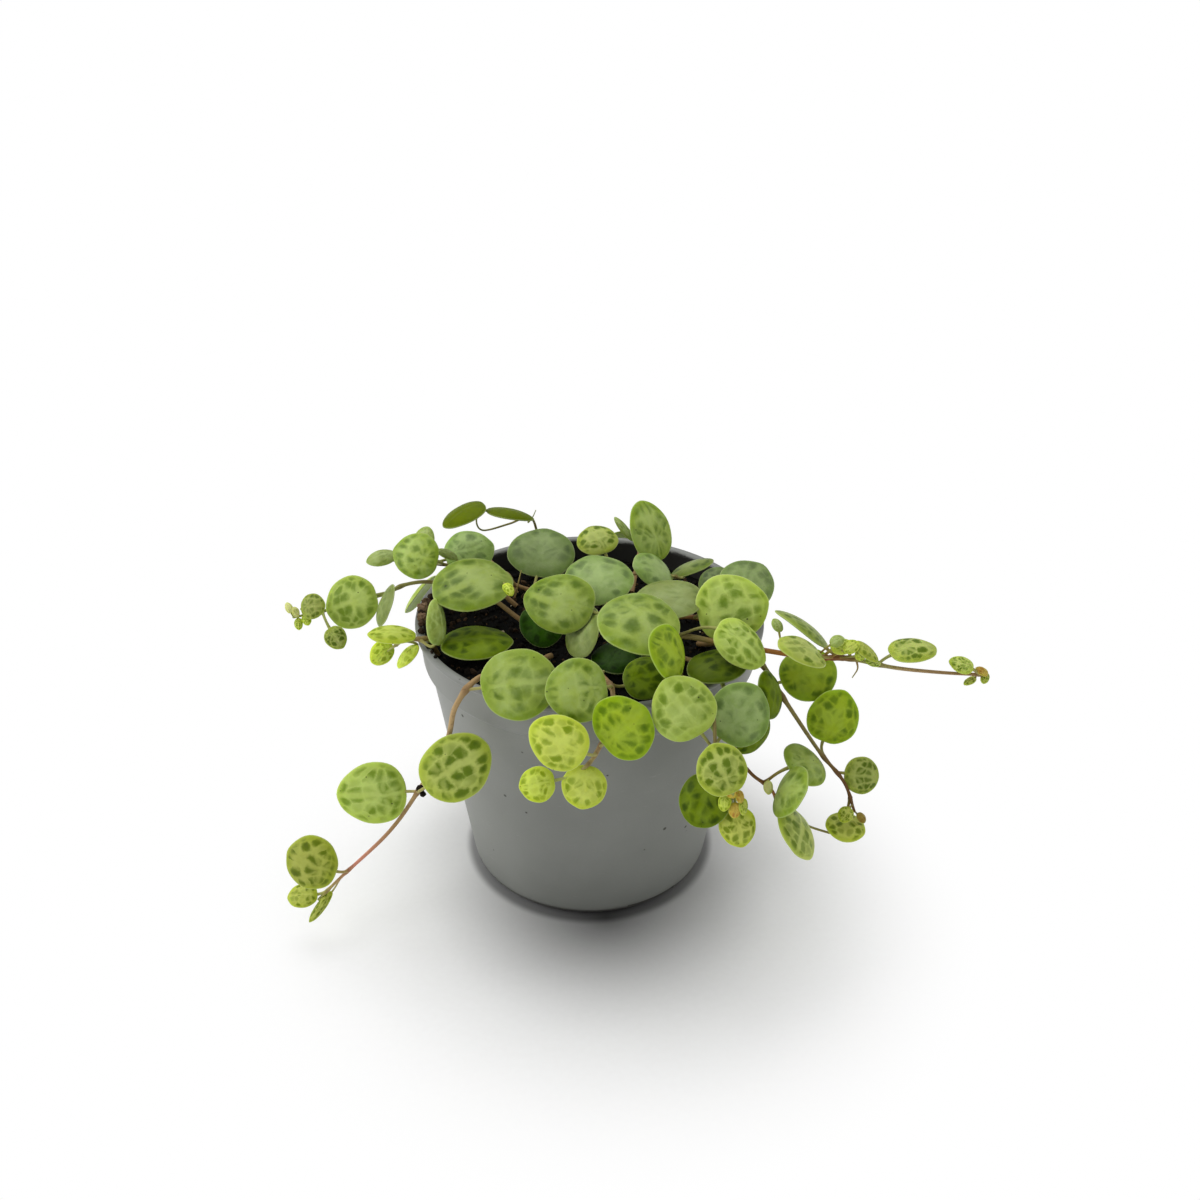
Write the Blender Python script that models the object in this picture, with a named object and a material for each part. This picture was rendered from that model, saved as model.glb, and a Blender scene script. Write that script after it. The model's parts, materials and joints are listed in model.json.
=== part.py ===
"""Potted string of turtles (Peperomia prostrata): a trailing house plant in a small nursery pot.

Units are metres, +Z is up. The origin is the centre of the pot's flat base, on the surface it stands
on, and -Y is the front. The plant is given in millimetres, turned into metres by MM.
"""
import math
from dataclasses import dataclass

import bmesh
import bpy
from mathutils import Vector

MM = 0.001
CLEARANCE = 0.3 * MM

# Pot: one thin thermoformed wall, with a rolled lip, a collar and a step below it.
POT_HEIGHT = 50 * MM
LIP_RADIUS = 30 * MM
WALL = 0.8 * MM
COLLAR_HEIGHT = 7.4 * MM
STEP = 1.0 * MM
BASE_RADIUS = 20.4 * MM
HEEL_RADIUS = 22.3 * MM
HEEL_HEIGHT = 3.2 * MM
FLOOR = 1.2 * MM
POT_SIDES = 40

# Drainage: arched notches in the heel and round holes in the floor.
NOTCH_ANGLES = (-59, 61, 181)
NOTCH_WIDTH = 12.3 * MM
NOTCH_HEIGHT = 1.8 * MM
NOTCH_REACH = 1.2 * MM
DRAIN_HOLES = 4
DRAIN_HOLE_RADIUS = 2.2 * MM
DRAIN_CIRCLE = 12 * MM

# Soil: the compost stands a little higher at the front than at the back.
SOIL_HEIGHT = 47 * MM
SOIL_TILT = 0.045
SOIL_BUMP = 0.2 * MM
SOIL_WAVE = 5.5 * MM

# Stems and leaves.
STEM_SIDES = 5
RINGS_PER_SPAN = 2
STEM_TAPER = 0.5
PETIOLE_SIDES = 4
PETIOLE_RADIUS = (0.5 * MM, 0.4 * MM)
LEAF_SIDES = 12
LEAF_MIDDLE = 0.6
LEAF_THICKNESS = 0.95 * MM
LEAF_DOME = 0.35 * MM
FULL_GROWN = 8.6

# Finish: colour, roughness.
FINISHES = {
    "pot": ((0.26, 0.27, 0.265), 0.5),
    "soil": ((0.018, 0.012, 0.009), 0.95),
    "stem": ((0.30, 0.16, 0.08), 0.55),
    "leaf": ((0.16, 0.30, 0.05), 0.42),
}


@dataclass(frozen=True)
class Leaf:
    """A round fleshy leaf: where its petiole leaves the stem (0 root, 1 tip), the middle of its blade
    in millimetres, the compass angle that its face leans towards and how far from level in degrees,
    and its length and width in millimetres."""

    station: float
    middle: tuple
    facing: tuple
    size: tuple


@dataclass(frozen=True)
class Vine:
    """A trailing stem: its thickness and route in millimetres, from the soil to its tip, and its leaves."""

    name: str
    girth: float
    route: tuple
    leaves: tuple


PLANT = (
    Vine("left_long", 1.3, (
        (-7, -13, 48.8), (-11.5, -19.5, 50.2), (-17, -24.3, 51.9), (-20.5, -27, 48.5),
        (-22.5, -26, 41), (-27.5, -27, 32), (-33, -27, 23.5), (-42, -26, 13), (-46.5, -25.5, 7.5),
    ), (
        Leaf(0.26, (-10.8, -27, 52.6), (-100, 50), (12.2, 11)),
        Leaf(0.56, (-20.8, -30.2, 39.2), (-95, 62), (12.1, 10.4)),
        Leaf(0.56, (-34.6, -27.5, 32.1), (-80, 58), (11.1, 9.9)),
        Leaf(0.87, (-46.3, -27, 17.1), (-100, 66), (9.4, 9.2)),
        Leaf(0.96, (-49, -26, 8.9), (-90, 26), (5.2, 4.4)),
    )),
    Vine("left_upper", 1.1, (
        (-12, 1, 48.2), (-19, 4, 51.5), (-27, 4.5, 53.2), (-32, 4.5, 52.8), (-36, 3.8, 51.2),
        (-41, 4, 49.6), (-46, 3.6, 48.2), (-51, -1, 49.3),
    ), (
        Leaf(0.53, (-34.8, -2.8, 52.6), (-168, 64), (7.6, 7.8)),
        Leaf(0.58, (-41.3, 1.5, 50.9), (-95, 55), (9.3, 9.4)),
        Leaf(0.88, (-47.5, -1, 51.5), (-100, 50), (4.5, 4.5)),
        Leaf(0.87, (-43.7, -3, 46.4), (-90, 60), (4.3, 3.8)),
    )),
    Vine("left_bright", 1, (
        (-25.3, -10.4, 48.4), (-26.2, -11.2, 50.9), (-27.9, -12, 51.5), (-29.8, -11.3, 51),
        (-32, -8.5, 48.5), (-34, -7.5, 46.5),
    ), (
        Leaf(0.29, (-18.7, -10.8, 50.4), (-60, 3), (12, 10)),
        Leaf(0.58, (-30.1, -11.2, 47.9), (-160, 32), (5.2, 3.8)),
        Leaf(0.83, (-35, -7.5, 46.1), (-60, 66), (4.8, 3.9)),
        Leaf(0.48, (-32.3, -11.5, 52.2), (-100, 20), (8.4, 3.8)),
        Leaf(0.35, (-24.7, -11.6, 54.3), (-15, 78), (7.8, 6.8)),
    )),
    Vine("raised_back", 0.7, (
        (-9, 22.5, 46.2), (-9.8, 23.3, 53.2), (-11, 20.3, 58.4), (-14.5, 15.5, 59.3), (-19, 13, 59.2),
        (-20, 12, 61.7), (-18.3, 11, 64.6),
    ), (
        Leaf(0.99, (-14, 10.8, 63.5), (52, 18), (8.5, 7.2)),
        Leaf(0.96, (-21.9, 9.8, 63.9), (-170, 20), (8.5, 8)),
    )),
    Vine("back_left", 1.1, (
        (-14, 8, 47.9), (-20, 10, 52.1), (-26, 9, 54.4), (-31, 8, 55.6), (-36, 7.5, 56),
    ), (
        Leaf(0.62, (-30, 4.8, 58.3), (-100, 55), (8.5, 8)),
        Leaf(0.69, (-21.6, 11.7, 55.8), (-80, 30), (9.3, 8.8)),
        Leaf(0.90, (-36.3, 6.2, 57.3), (-90, 20), (5.4, 3.8)),
    )),
    Vine("crown_left", 1.2, (
        (-6, 5, 47.9), (-9, 5, 50.4), (-13, 3.5, 53.2), (-17, 3, 54.3),
    ), (
        Leaf(0.35, (-8, -4.4, 49.9), (-90, 30), (8.5, 8)),
        Leaf(0.45, (-8.8, 16, 53.4), (-90, 24), (11.8, 12.4)),
        Leaf(0.70, (-19.5, -4.6, 58), (-60, 14), (14.5, 12.5)),
    )),
    Vine("crown_mid", 1.2, (
        (1, -4, 48.4), (0, -5, 51), (3, -9, 54.5), (3.8, -14, 56),
    ), (
        Leaf(0.34, (-1.2, -12.6, 53.2), (-160, 50), (10, 8)),
        Leaf(0.80, (1.5, -3.9, 58.4), (-90, 18), (11.4, 11.9)),
        Leaf(0.87, (-4.9, -10, 57.2), (-110, 45), (12.2, 10.2)),
        Leaf(1.00, (7.7, -22, 60.5), (-65, 22), (12.4, 12.9)),
    )),
    Vine("crown_back", 1.1, (
        (3, 13, 47.5), (6.5, 11, 51), (11, 8, 53.3), (15, 4, 54.6),
    ), (
        Leaf(0.15, (1.4, 15.8, 56), (-90, 22), (7.3, 7.6)),
        Leaf(0.99, (11.1, 2.1, 56.8), (-24, 37), (8.6, 8)),
        Leaf(0.8, (10.8, 8.8, 61), (-60, 58), (11, 8.2)),
        Leaf(1.00, (18.2, 9, 53.9), (145, 26), (8.4, 8.2)),
    )),
    Vine("crown_right", 1.2, (
        (10, -3, 48.4), (14, -6, 52), (19, -9.5, 53.8), (23, -13.5, 53.3),
    ), (
        Leaf(0.63, (22.6, -13.5, 58.2), (-90, 55), (11.6, 11.2)),
        Leaf(0.69, (12.7, -10.5, 58.2), (-125, 8), (11.5, 11)),
        Leaf(0.79, (26.8, -1.7, 56.6), (-60, 25), (11, 9.5)),
        Leaf(0.6, (22, 2.2, 54.4), (-90, 32), (6.8, 6.2)),
    )),
    Vine("centre_front", 1.2, (
        (0, -16, 49), (2.5, -23, 50.8), (3.5, -28.4, 51.9), (3.2, -31.6, 49), (1.2, -33.8, 45.1),
        (-0.6, -35, 43), (-3.5, -35.8, 41.3),
    ), (
        Leaf(0.17, (4.5, -16.3, 50.9), (-90, 8), (8.5, 8)),
        Leaf(0.36, (9, -23, 51.2), (-90, 30), (8, 7.5)),
        Leaf(0.75, (5.1, -33.6, 49.2), (-90, 66), (8.7, 10.4)),
        Leaf(0.8, (-4.5, -35.9, 48.2), (-95, 62), (9.3, 8.2)),
        Leaf(0.4, (-1.8, -30.6, 53.8), (-90, 55), (9.5, 9.6)),
        Leaf(0.86, (-0.8, -36.5, 40.4), (-90, 60), (6.8, 6.8)),
        Leaf(0.98, (-7.8, -36.4, 40.8), (-95, 58), (5.6, 5.4)),
    )),
    Vine("right_front", 1.1, (
        (12, -17, 49), (15.5, -24, 50.8), (18.2, -31, 50.8), (18.8, -34.8, 46), (20.5, -36, 41),
        (22, -36.3, 37.5),
    ), (
        Leaf(0.17, (11.9, -27, 58.2), (-30, 70), (10.2, 8.4)),
        Leaf(0.70, (22.7, -29.9, 49), (-85, 60), (9.8, 9.8)),
        Leaf(0.73, (13.8, -32.4, 51.7), (-95, 66), (10, 9.8)),
        Leaf(0.76, (17.2, -37, 38.2), (-110, 62), (8.5, 8)),
        Leaf(0.92, (22.4, -38.4, 34.3), (-80, 65), (6.4, 5.8)),
        Leaf(0.96, (19.4, -37.8, 44.6), (-90, 60), (8, 7.6)),
    )),
    Vine("right_loop", 1.2, (
        (19, -8, 48.6), (23, -13, 51.2), (26.5, -19, 52), (30.8, -24, 47), (36, -27, 40),
        (40, -29, 35.5), (42, -30, 30.5),
    ), (
        Leaf(0.30, (19.8, -22.1, 52.9), (-90, 5), (10.3, 8.2)),
        Leaf(0.35, (28, -25.3, 49.5), (-30, 60), (8, 6.4)),
        Leaf(0.41, (35.4, -16.4, 47.6), (-80, 40), (10, 9)),
        Leaf(0.49, (25.2, -25, 42.8), (-60, 65), (8.5, 7.6)),
        Leaf(0.76, (39.1, -21.3, 42.5), (-85, 62), (8.9, 8.6)),
        Leaf(0.83, (43, -28, 36), (-80, 60), (6, 5.9)),
        Leaf(0.94, (40.6, -31.2, 28.4), (-90, 6), (6.4, 6.4)),
    )),
    Vine("right_curl", 1, (
        (14, -12, 48.8), (18.2, -19, 50.9), (20.3, -24, 51.2), (21.8, -28.5, 47), (22.3, -31.2, 43.1),
        (24.7, -32.6, 39.9), (28, -31, 36), (29.7, -30, 32.5), (31.7, -29.5, 29.2), (35.1, -30, 27.4),
        (38.3, -30.8, 26.7),
    ), (
        Leaf(0.76, (29.9, -36.4, 39.6), (177, 62), (10, 8.6)),
        Leaf(0.66, (33.6, -29.6, 39.5), (-24, 32), (8.2, 7.8)),
        Leaf(0.83, (31.9, -36.4, 31.8), (-14, 47), (9.4, 9.2)),
    )),
    Vine("right_long", 1.3, (
        (8, -9, 48.8), (14, -13.5, 53), (21.5, -18, 54.2), (28, -20.5, 54.4), (34, -22, 54.2),
        (40, -22, 54), (47.5, -21.5, 52), (55, -21, 50.8), (62.5, -20.5, 50),
    ), (
        Leaf(0.6, (33.5, -17.8, 57.1), (18, 34), (10.2, 7)),
        Leaf(0.58, (32.2, -25.2, 57.4), (-6, 28), (9.3, 7)),
        Leaf(0.15, (23.3, -21.4, 56.3), (-60, 45), (9.6, 7.4)),
        Leaf(0.55, (38.7, -22.4, 56.5), (-110, 20), (3.6, 3.3)),
        Leaf(0.70, (50, -21, 55), (-100, 8), (7.6, 6)),
        Leaf(0.98, (58.2, -20.9, 52.2), (-90, 40), (4, 2.8)),
        Leaf(0.62, (42.5, -22.8, 55.8), (-20, 35), (4.6, 3.6)),
    )),
    Vine("back_fall", 1.1, (
        (8, 14, 47.7), (9.5, 22, 50.5), (11, 29.5, 52), (12, 34.5, 47), (12.5, 36, 38),
        (11.5, 35.5, 29), (11, 35, 22),
    ), (
        Leaf(0.38, (6, 34, 46), (100, 58), (11, 10.5)),
        Leaf(0.67, (18, 34, 42), (75, 60), (10, 9.5)),
        Leaf(0.70, (6.5, 37, 34), (95, 68), (9, 8.5)),
        Leaf(0.91, (17, 36, 29), (80, 66), (8, 7.6)),
        Leaf(0.95, (10, 36.5, 19), (90, 70), (7, 6.5)),
    )),
    Vine("back_left_fall", 1.1, (
        (-14, 13, 47.7), (-18, 16.5, 50.8), (-22.5, 20.5, 52), (-27, 24.5, 47), (-28.5, 26, 38),
        (-29, 26, 30),
    ), (
        Leaf(0.54, (-21, 27, 44), (115, 60), (10, 9.6)),
        Leaf(0.62, (-32.5, 21, 42), (155, 60), (9.2, 8.8)),
        Leaf(0.79, (-27, 29, 33), (130, 66), (8.4, 8)),
        Leaf(0.96, (-31, 24.5, 26.5), (150, 60), (6.6, 6)),
    )),)


def make_material(name):
    """A Principled material from FINISHES."""
    colour, roughness = FINISHES[name]
    material = bpy.data.materials.new(name)
    material.use_nodes = True
    shader = material.node_tree.nodes["Principled BSDF"]
    shader.inputs["Base Color"].default_value = (*colour, 1)
    shader.inputs["Roughness"].default_value = roughness
    shader.inputs["Metallic"].default_value = 0
    return material


def add_object(name, mesh, material):
    """Link a new object for a mesh, with one material."""
    solid = bpy.data.objects.new(name, mesh)
    mesh.materials.clear()
    mesh.materials.append(material)
    bpy.context.scene.collection.objects.link(solid)
    return solid


def shade(mesh, sharp_degrees):
    """Smooth shading, with edges above the angle kept sharp."""
    mesh.shade_smooth()
    mesh.set_sharp_from_angle(angle=math.radians(sharp_degrees))


def skin(name, rings, start, end):
    """A closed mesh over rings of equal count, capped by fans to a start and an end point."""
    shape = bmesh.new()
    loops = [[shape.verts.new(point) for point in ring] for ring in rings]
    first, last = shape.verts.new(start), shape.verts.new(end)
    sides = len(rings[0])
    for side in range(sides):
        following = (side + 1) % sides
        shape.faces.new((first, loops[0][following], loops[0][side]))
        for lower, upper in zip(loops, loops[1:]):
            shape.faces.new((lower[side], lower[following], upper[following], upper[side]))
        shape.faces.new((last, loops[-1][side], loops[-1][following]))
    bmesh.ops.recalc_face_normals(shape, faces=shape.faces)
    mesh = bpy.data.meshes.new(name)
    shape.to_mesh(mesh)
    shape.free()
    return mesh


def turned(name, profile, sides=POT_SIDES):
    """A turned body from (radius, height) pairs, where a height may be a function of x and y."""
    def point(radius, height, side):
        angle = math.tau * side / sides
        x, y = radius * math.cos(angle), radius * math.sin(angle)
        return Vector((x, y, height(x, y) if callable(height) else height))

    rings = [[point(radius, height, side) for side in range(sides)] for radius, height in profile]
    return skin(name, rings, point(0, profile[0][1], 0), point(0, profile[-1][1], 0))


def pot_wall():
    """Outer and inner (radius, height) points of the pot's wall, from its base up to the lip."""
    step_height = POT_HEIGHT - COLLAR_HEIGHT
    collar_radius = LIP_RADIUS - 0.65 * MM
    outer = [
        (BASE_RADIUS, 0),
        (BASE_RADIUS + 1.1 * MM, 0.6 * MM),
        (HEEL_RADIUS - 0.2 * MM, 1.8 * MM),
        (HEEL_RADIUS, HEEL_HEIGHT),
        (collar_radius - 0.45 * MM - STEP, step_height - 0.2 * MM),
        (collar_radius - 0.45 * MM, step_height + 0.5 * MM),
        (collar_radius, POT_HEIGHT - 1.3 * MM),
    ]
    inner = [
        (BASE_RADIUS - WALL, FLOOR),
        (BASE_RADIUS + 0.4 * MM, 1.8 * MM),
        (HEEL_RADIUS - WALL, HEEL_HEIGHT),
        (collar_radius - 0.45 * MM - STEP - WALL, step_height),
        (collar_radius - 0.45 * MM - WALL, step_height + 0.8 * MM),
        (collar_radius - WALL - 0.1 * MM, POT_HEIGHT - 0.6 * MM),
    ]
    return outer, inner


def build_pot(material):
    """The pot, with its notches and drain holes cut by one hidden cutter collection."""
    outer, inner = pot_wall()
    lip = [
        (LIP_RADIUS - 0.1 * MM, POT_HEIGHT - 0.9 * MM),
        (LIP_RADIUS, POT_HEIGHT - 0.5 * MM),
        (LIP_RADIUS - 0.3 * MM, POT_HEIGHT - 0.1 * MM),
        (LIP_RADIUS - 0.8 * MM, POT_HEIGHT),
        (LIP_RADIUS - 1.3 * MM, POT_HEIGHT - 0.15 * MM),
    ]
    pot = add_object("pot", turned("pot", outer + lip + inner[::-1]), material)
    cutters = bpy.data.collections.new("pot_cutters")
    bpy.context.scene.collection.children.link(cutters)
    for number, degrees in enumerate(NOTCH_ANGLES, 1):
        notch = bmesh.new()
        bmesh.ops.create_cube(notch, size=1)
        bmesh.ops.scale(notch, vec=(2 * NOTCH_REACH, NOTCH_WIDTH, 2 * NOTCH_HEIGHT), verts=notch.verts)
        place_cutter(f"notch_{number}", notch, HEEL_RADIUS, degrees, cutters)
    for number in range(DRAIN_HOLES):
        hole = bmesh.new()
        bmesh.ops.create_cone(hole, cap_ends=True, segments=16, radius1=DRAIN_HOLE_RADIUS,
                              radius2=DRAIN_HOLE_RADIUS, depth=4 * FLOOR)
        place_cutter(f"drain_{number + 1}", hole, DRAIN_CIRCLE, 20 + 90 * number, cutters)
    bake_boolean(pot, "DIFFERENCE", cutters)
    shade(pot.data, 35)
    return pot


def place_cutter(name, shape, radius, degrees, cutters):
    """Move a cutter's shape out to a radius, turn it about the pot's axis and hide it."""
    mesh = bpy.data.meshes.new(name)
    shape.to_mesh(mesh)
    shape.free()
    cutter = bpy.data.objects.new(name, mesh)
    angle = math.radians(degrees)
    cutter.location = (radius * math.cos(angle), radius * math.sin(angle), 0)
    cutter.rotation_euler = (0, 0, angle)
    cutter.hide_render = True
    cutter.display_type = "WIRE"
    cutters.objects.link(cutter)


def bake_boolean(solid, operation, partners):
    """Join or cut a solid with a collection, keep the result as its mesh and remove the partners."""
    modifier = solid.modifiers.new("boolean", "BOOLEAN")
    modifier.operation = operation
    modifier.operand_type = "COLLECTION"
    modifier.collection = partners
    modifier.solver = "EXACT"
    evaluated = solid.evaluated_get(bpy.context.evaluated_depsgraph_get())
    result = bpy.data.meshes.new_from_object(evaluated)
    solid.modifiers.clear()
    solid.data = result
    for partner in list(partners.objects):
        bpy.data.objects.remove(partner)
    bpy.data.collections.remove(partners)


def soil_top(x, y):
    """Height of the compost at a place inside the pot."""
    bumps = SOIL_BUMP * math.sin(x / SOIL_WAVE + 1) * math.cos(y / SOIL_WAVE)
    return SOIL_HEIGHT - SOIL_TILT * y + bumps


def build_soil(material):
    """The plug of compost, a clearance inside the pot's wall."""
    inner = pot_wall()[1]
    sides = [(radius - CLEARANCE, height + CLEARANCE) for radius, height in inner[:-1]]
    brim = inner[-1][0] - 2 * CLEARANCE
    top = [(brim * share, soil_top) for share in (1, 0.8, 0.6, 0.4, 0.2)]
    soil = add_object("soil", turned("soil", sides + top), material)
    shade(soil.data, 50)
    return soil


def smooth_route(points):
    """A smooth curve (Catmull-Rom) through the points, with RINGS_PER_SPAN steps in each span."""
    ends = [2 * points[0] - points[1], *points, 2 * points[-1] - points[-2]]
    route = []
    for before, start, end, after in zip(ends, ends[1:], ends[2:], ends[3:]):
        for ring in range(RINGS_PER_SPAN):
            t = ring / RINGS_PER_SPAN
            route.append(0.5 * (2 * start + (end - before) * t
                                + (2 * before - 5 * start + 4 * end - after) * t * t
                                + (3 * start - before - 3 * end + after) * t ** 3))
    route.append(points[-1])
    return route


def tube(name, route, radii, sides):
    """A round closed tube along a route, its radius running from the first to the second of radii."""
    across = (route[1] - route[0]).orthogonal().normalized()
    rings = []
    for number, point in enumerate(route):
        ahead = (route[min(number + 1, len(route) - 1)] - route[max(number - 1, 0)]).normalized()
        across = (across - ahead * across.dot(ahead)).normalized()
        upward = ahead.cross(across)
        radius = radii[0] + (radii[1] - radii[0]) * number / (len(route) - 1)
        rings.append([
            point + radius * (math.cos(math.tau * side / sides) * across
                              + math.sin(math.tau * side / sides) * upward)
            for side in range(sides)
        ])
    return skin(name, rings, route[0], route[-1])


def along(route, station):
    """The point at a share of a route's length."""
    lengths = [(b - a).length for a, b in zip(route, route[1:])]
    left = station * sum(lengths)
    for start, end, length in zip(route, route[1:], lengths):
        if left <= length:
            return start.lerp(end, left / length)
        left -= length
    return route[-1]


def blade_frame(leaf, node):
    """Middle, length axis, width axis and outward face of a leaf whose petiole comes from a node."""
    middle = Vector(leaf.middle) * MM
    compass, lean = (math.radians(angle) for angle in leaf.facing)
    face = Vector((math.sin(lean) * math.cos(compass), math.sin(lean) * math.sin(compass), math.cos(lean)))
    lengthwise = middle - node
    lengthwise = (lengthwise - face * lengthwise.dot(face)).normalized()
    return middle, lengthwise, face.cross(lengthwise), face


def blade(name, leaf, node):
    """The leaf's solid: a thin round lens, domed towards its face."""
    middle, lengthwise, widthwise, face = blade_frame(leaf, node)

    def ring(share, rise):
        return [
            middle + face * rise + share * MM * 0.5 * (
                leaf.size[0] * math.cos(math.tau * side / LEAF_SIDES) * lengthwise
                + leaf.size[1] * math.sin(math.tau * side / LEAF_SIDES) * widthwise)
            for side in range(LEAF_SIDES)
        ]

    half = LEAF_THICKNESS / 2
    rings = [ring(LEAF_MIDDLE, 0.4 * LEAF_DOME - 0.8 * half), ring(1, -0.6 * LEAF_DOME),
             ring(LEAF_MIDDLE, 0.4 * LEAF_DOME + 0.8 * half)]
    under, crown = middle + face * (LEAF_DOME - half), middle + face * (LEAF_DOME + half)
    return skin(name, rings, under, crown)


def build_vine(vine, stem_material, leaf_material):
    """One stem with its petioles and young leaves in one solid, and its full-grown leaves apart."""
    points = [Vector(point) * MM for point in vine.route]
    radius = vine.girth * MM / 2
    slope = (points[1] - points[0]).normalized()
    points[0].z = soil_top(points[0].x, points[0].y) + CLEARANCE + radius * math.hypot(slope.x, slope.y)
    route = smooth_route(points)
    stem_name = f"stem_{vine.name}"
    stem = add_object(stem_name, tube(stem_name, route, (radius, radius * STEM_TAPER), STEM_SIDES),
                      stem_material)
    shoots = bpy.data.collections.new(f"{vine.name}_shoots")
    bpy.context.scene.collection.children.link(shoots)
    for number, leaf in enumerate(vine.leaves, 1):
        node = along(route, leaf.station)
        middle, lengthwise = blade_frame(leaf, node)[:2]
        heel = middle - lengthwise * leaf.size[0] * MM / 2
        apart = leaf.size[0] >= FULL_GROWN
        reach = (heel - node).normalized() * (-CLEARANCE if apart else 0) + lengthwise * (0 if apart else MM)
        petiole = tube("petiole", [node, (node + heel) / 2, heel + reach], PETIOLE_RADIUS, PETIOLE_SIDES)
        shoots.objects.link(bpy.data.objects.new("petiole", petiole))
        name = f"leaf_{vine.name}_{number}"
        solid = blade(name, leaf, node)
        if apart:
            shade(add_object(name, solid, leaf_material).data, 60)
        else:
            shoots.objects.link(bpy.data.objects.new(name, solid))
    for shoot in shoots.objects:
        shoot.hide_render = True
        shoot.display_type = "WIRE"
    bake_boolean(stem, "UNION", shoots)
    shade(stem.data, 60)


def main():
    for leftover in list(bpy.data.objects):
        bpy.data.objects.remove(leftover)
    materials = {name: make_material(name) for name in FINISHES}
    build_pot(materials["pot"])
    build_soil(materials["soil"])
    for vine in PLANT:
        build_vine(vine, materials["stem"], materials["leaf"])


main()
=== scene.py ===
"""Potted string of turtles: a trailing house plant in a small nursery pot, in a plain studio.

Units are metres and +Z is up. The origin is the centre of the pot's base and -Y is the front.
Plant sizes are written in millimetres and turned into metres by MM.
"""
import json
import logging
import math
import random
from dataclasses import dataclass
from enum import Enum
from typing import Callable, Iterable, Sequence

import bmesh
import bpy
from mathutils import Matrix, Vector, noise

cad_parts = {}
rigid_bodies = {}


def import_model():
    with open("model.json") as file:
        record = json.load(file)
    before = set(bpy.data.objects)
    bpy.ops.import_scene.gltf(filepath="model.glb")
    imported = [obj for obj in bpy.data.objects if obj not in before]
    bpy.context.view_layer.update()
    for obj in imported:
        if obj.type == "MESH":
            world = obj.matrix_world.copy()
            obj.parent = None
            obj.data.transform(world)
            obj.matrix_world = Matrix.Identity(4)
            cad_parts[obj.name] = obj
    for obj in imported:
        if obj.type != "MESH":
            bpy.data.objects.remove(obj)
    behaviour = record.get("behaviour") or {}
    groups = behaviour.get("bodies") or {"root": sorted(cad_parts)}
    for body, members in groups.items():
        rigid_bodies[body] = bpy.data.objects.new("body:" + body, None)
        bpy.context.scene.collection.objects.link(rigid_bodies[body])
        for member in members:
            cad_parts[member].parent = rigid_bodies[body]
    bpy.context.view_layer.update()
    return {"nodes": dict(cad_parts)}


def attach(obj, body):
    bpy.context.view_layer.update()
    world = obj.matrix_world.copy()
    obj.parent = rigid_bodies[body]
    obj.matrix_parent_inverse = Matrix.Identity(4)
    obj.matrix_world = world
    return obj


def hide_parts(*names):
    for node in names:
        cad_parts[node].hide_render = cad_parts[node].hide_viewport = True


MM = 0.001
BODY = "root"
LOG = logging.getLogger("string_of_turtles")

Colour = tuple[float, float, float]
Point = tuple[float, float, float]
Path = list[tuple[Vector, float, float, Colour]]
Value = "Wire | float"


def linear(colour: Colour) -> Colour:
    """Turn display values of 0 to 255 into scene-linear values of 0 to 1."""
    shares = [value / 255 for value in colour]
    return tuple(s / 12.92 if s <= 0.04045 else ((s + 0.055) / 1.055) ** 2.4 for s in shares)


def blended(first: Colour, second: Colour, share: float) -> Colour:
    """A colour between two."""
    return tuple(a + (b - a) * share for a, b in zip(first, second))


def linked(name: str, data: bpy.types.ID) -> bpy.types.Object:
    """A new object of the data, in the scene."""
    made = bpy.data.objects.new(name, data)
    bpy.context.scene.collection.objects.link(made)
    return made


def math_node(operation: str) -> Callable:
    """A method of Wire that adds one Math node.

    Args:
        operation: The node's operation.

    Returns:
        The method, which takes the other values.
    """
    def method(wire: "Wire", *others: Value) -> "Wire":
        """The node of this wire and the others."""
        return wire.bench.node("ShaderNodeMath", {"operation": operation}, dict(enumerate((wire, *others))))
    return method


class Wire:
    """One socket of a node tree. Arithmetic on it adds Math nodes."""

    def __init__(self, bench: "Bench", socket: bpy.types.NodeSocket) -> None:
        """Hold a socket and the bench that owns it."""
        self.bench = bench
        self.socket = socket

    # The operators, then the larger of two, the angle of two sides and the nearest whole number.
    __add__ = __radd__ = math_node("ADD")
    __mul__ = __rmul__ = math_node("MULTIPLY")
    __sub__ = math_node("SUBTRACT")
    __truediv__ = math_node("DIVIDE")
    __pow__ = math_node("POWER")
    __abs__ = math_node("ABSOLUTE")
    most = math_node("MAXIMUM")
    arc = math_node("ARCTAN2")
    nearest = math_node("ROUND")

    def __rsub__(self, other: float) -> "Wire":
        """Difference from a number."""
        return self.bench.node("ShaderNodeMath", {"operation": "SUBTRACT"}, {0: other, 1: self})

    def twin(self, name: str) -> "Wire":
        """Another output of the same node."""
        return Wire(self.bench, self.socket.node.outputs[name])

    def rise(self, low: float, high: float) -> "Wire":
        """A smooth step from 0 at low to 1 at high; low may be above high for a fall.

        Args:
            low: Where the step begins.
            high: Where it ends.

        Returns:
            The stepped value, 0 to 1.
        """
        if low > high:
            return 1 - self.rise(high, low)
        return self.bench.node("ShaderNodeMapRange", {"interpolation_type": "SMOOTHSTEP"},
                               {"Value": self, "From Min": low, "From Max": high})


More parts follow.
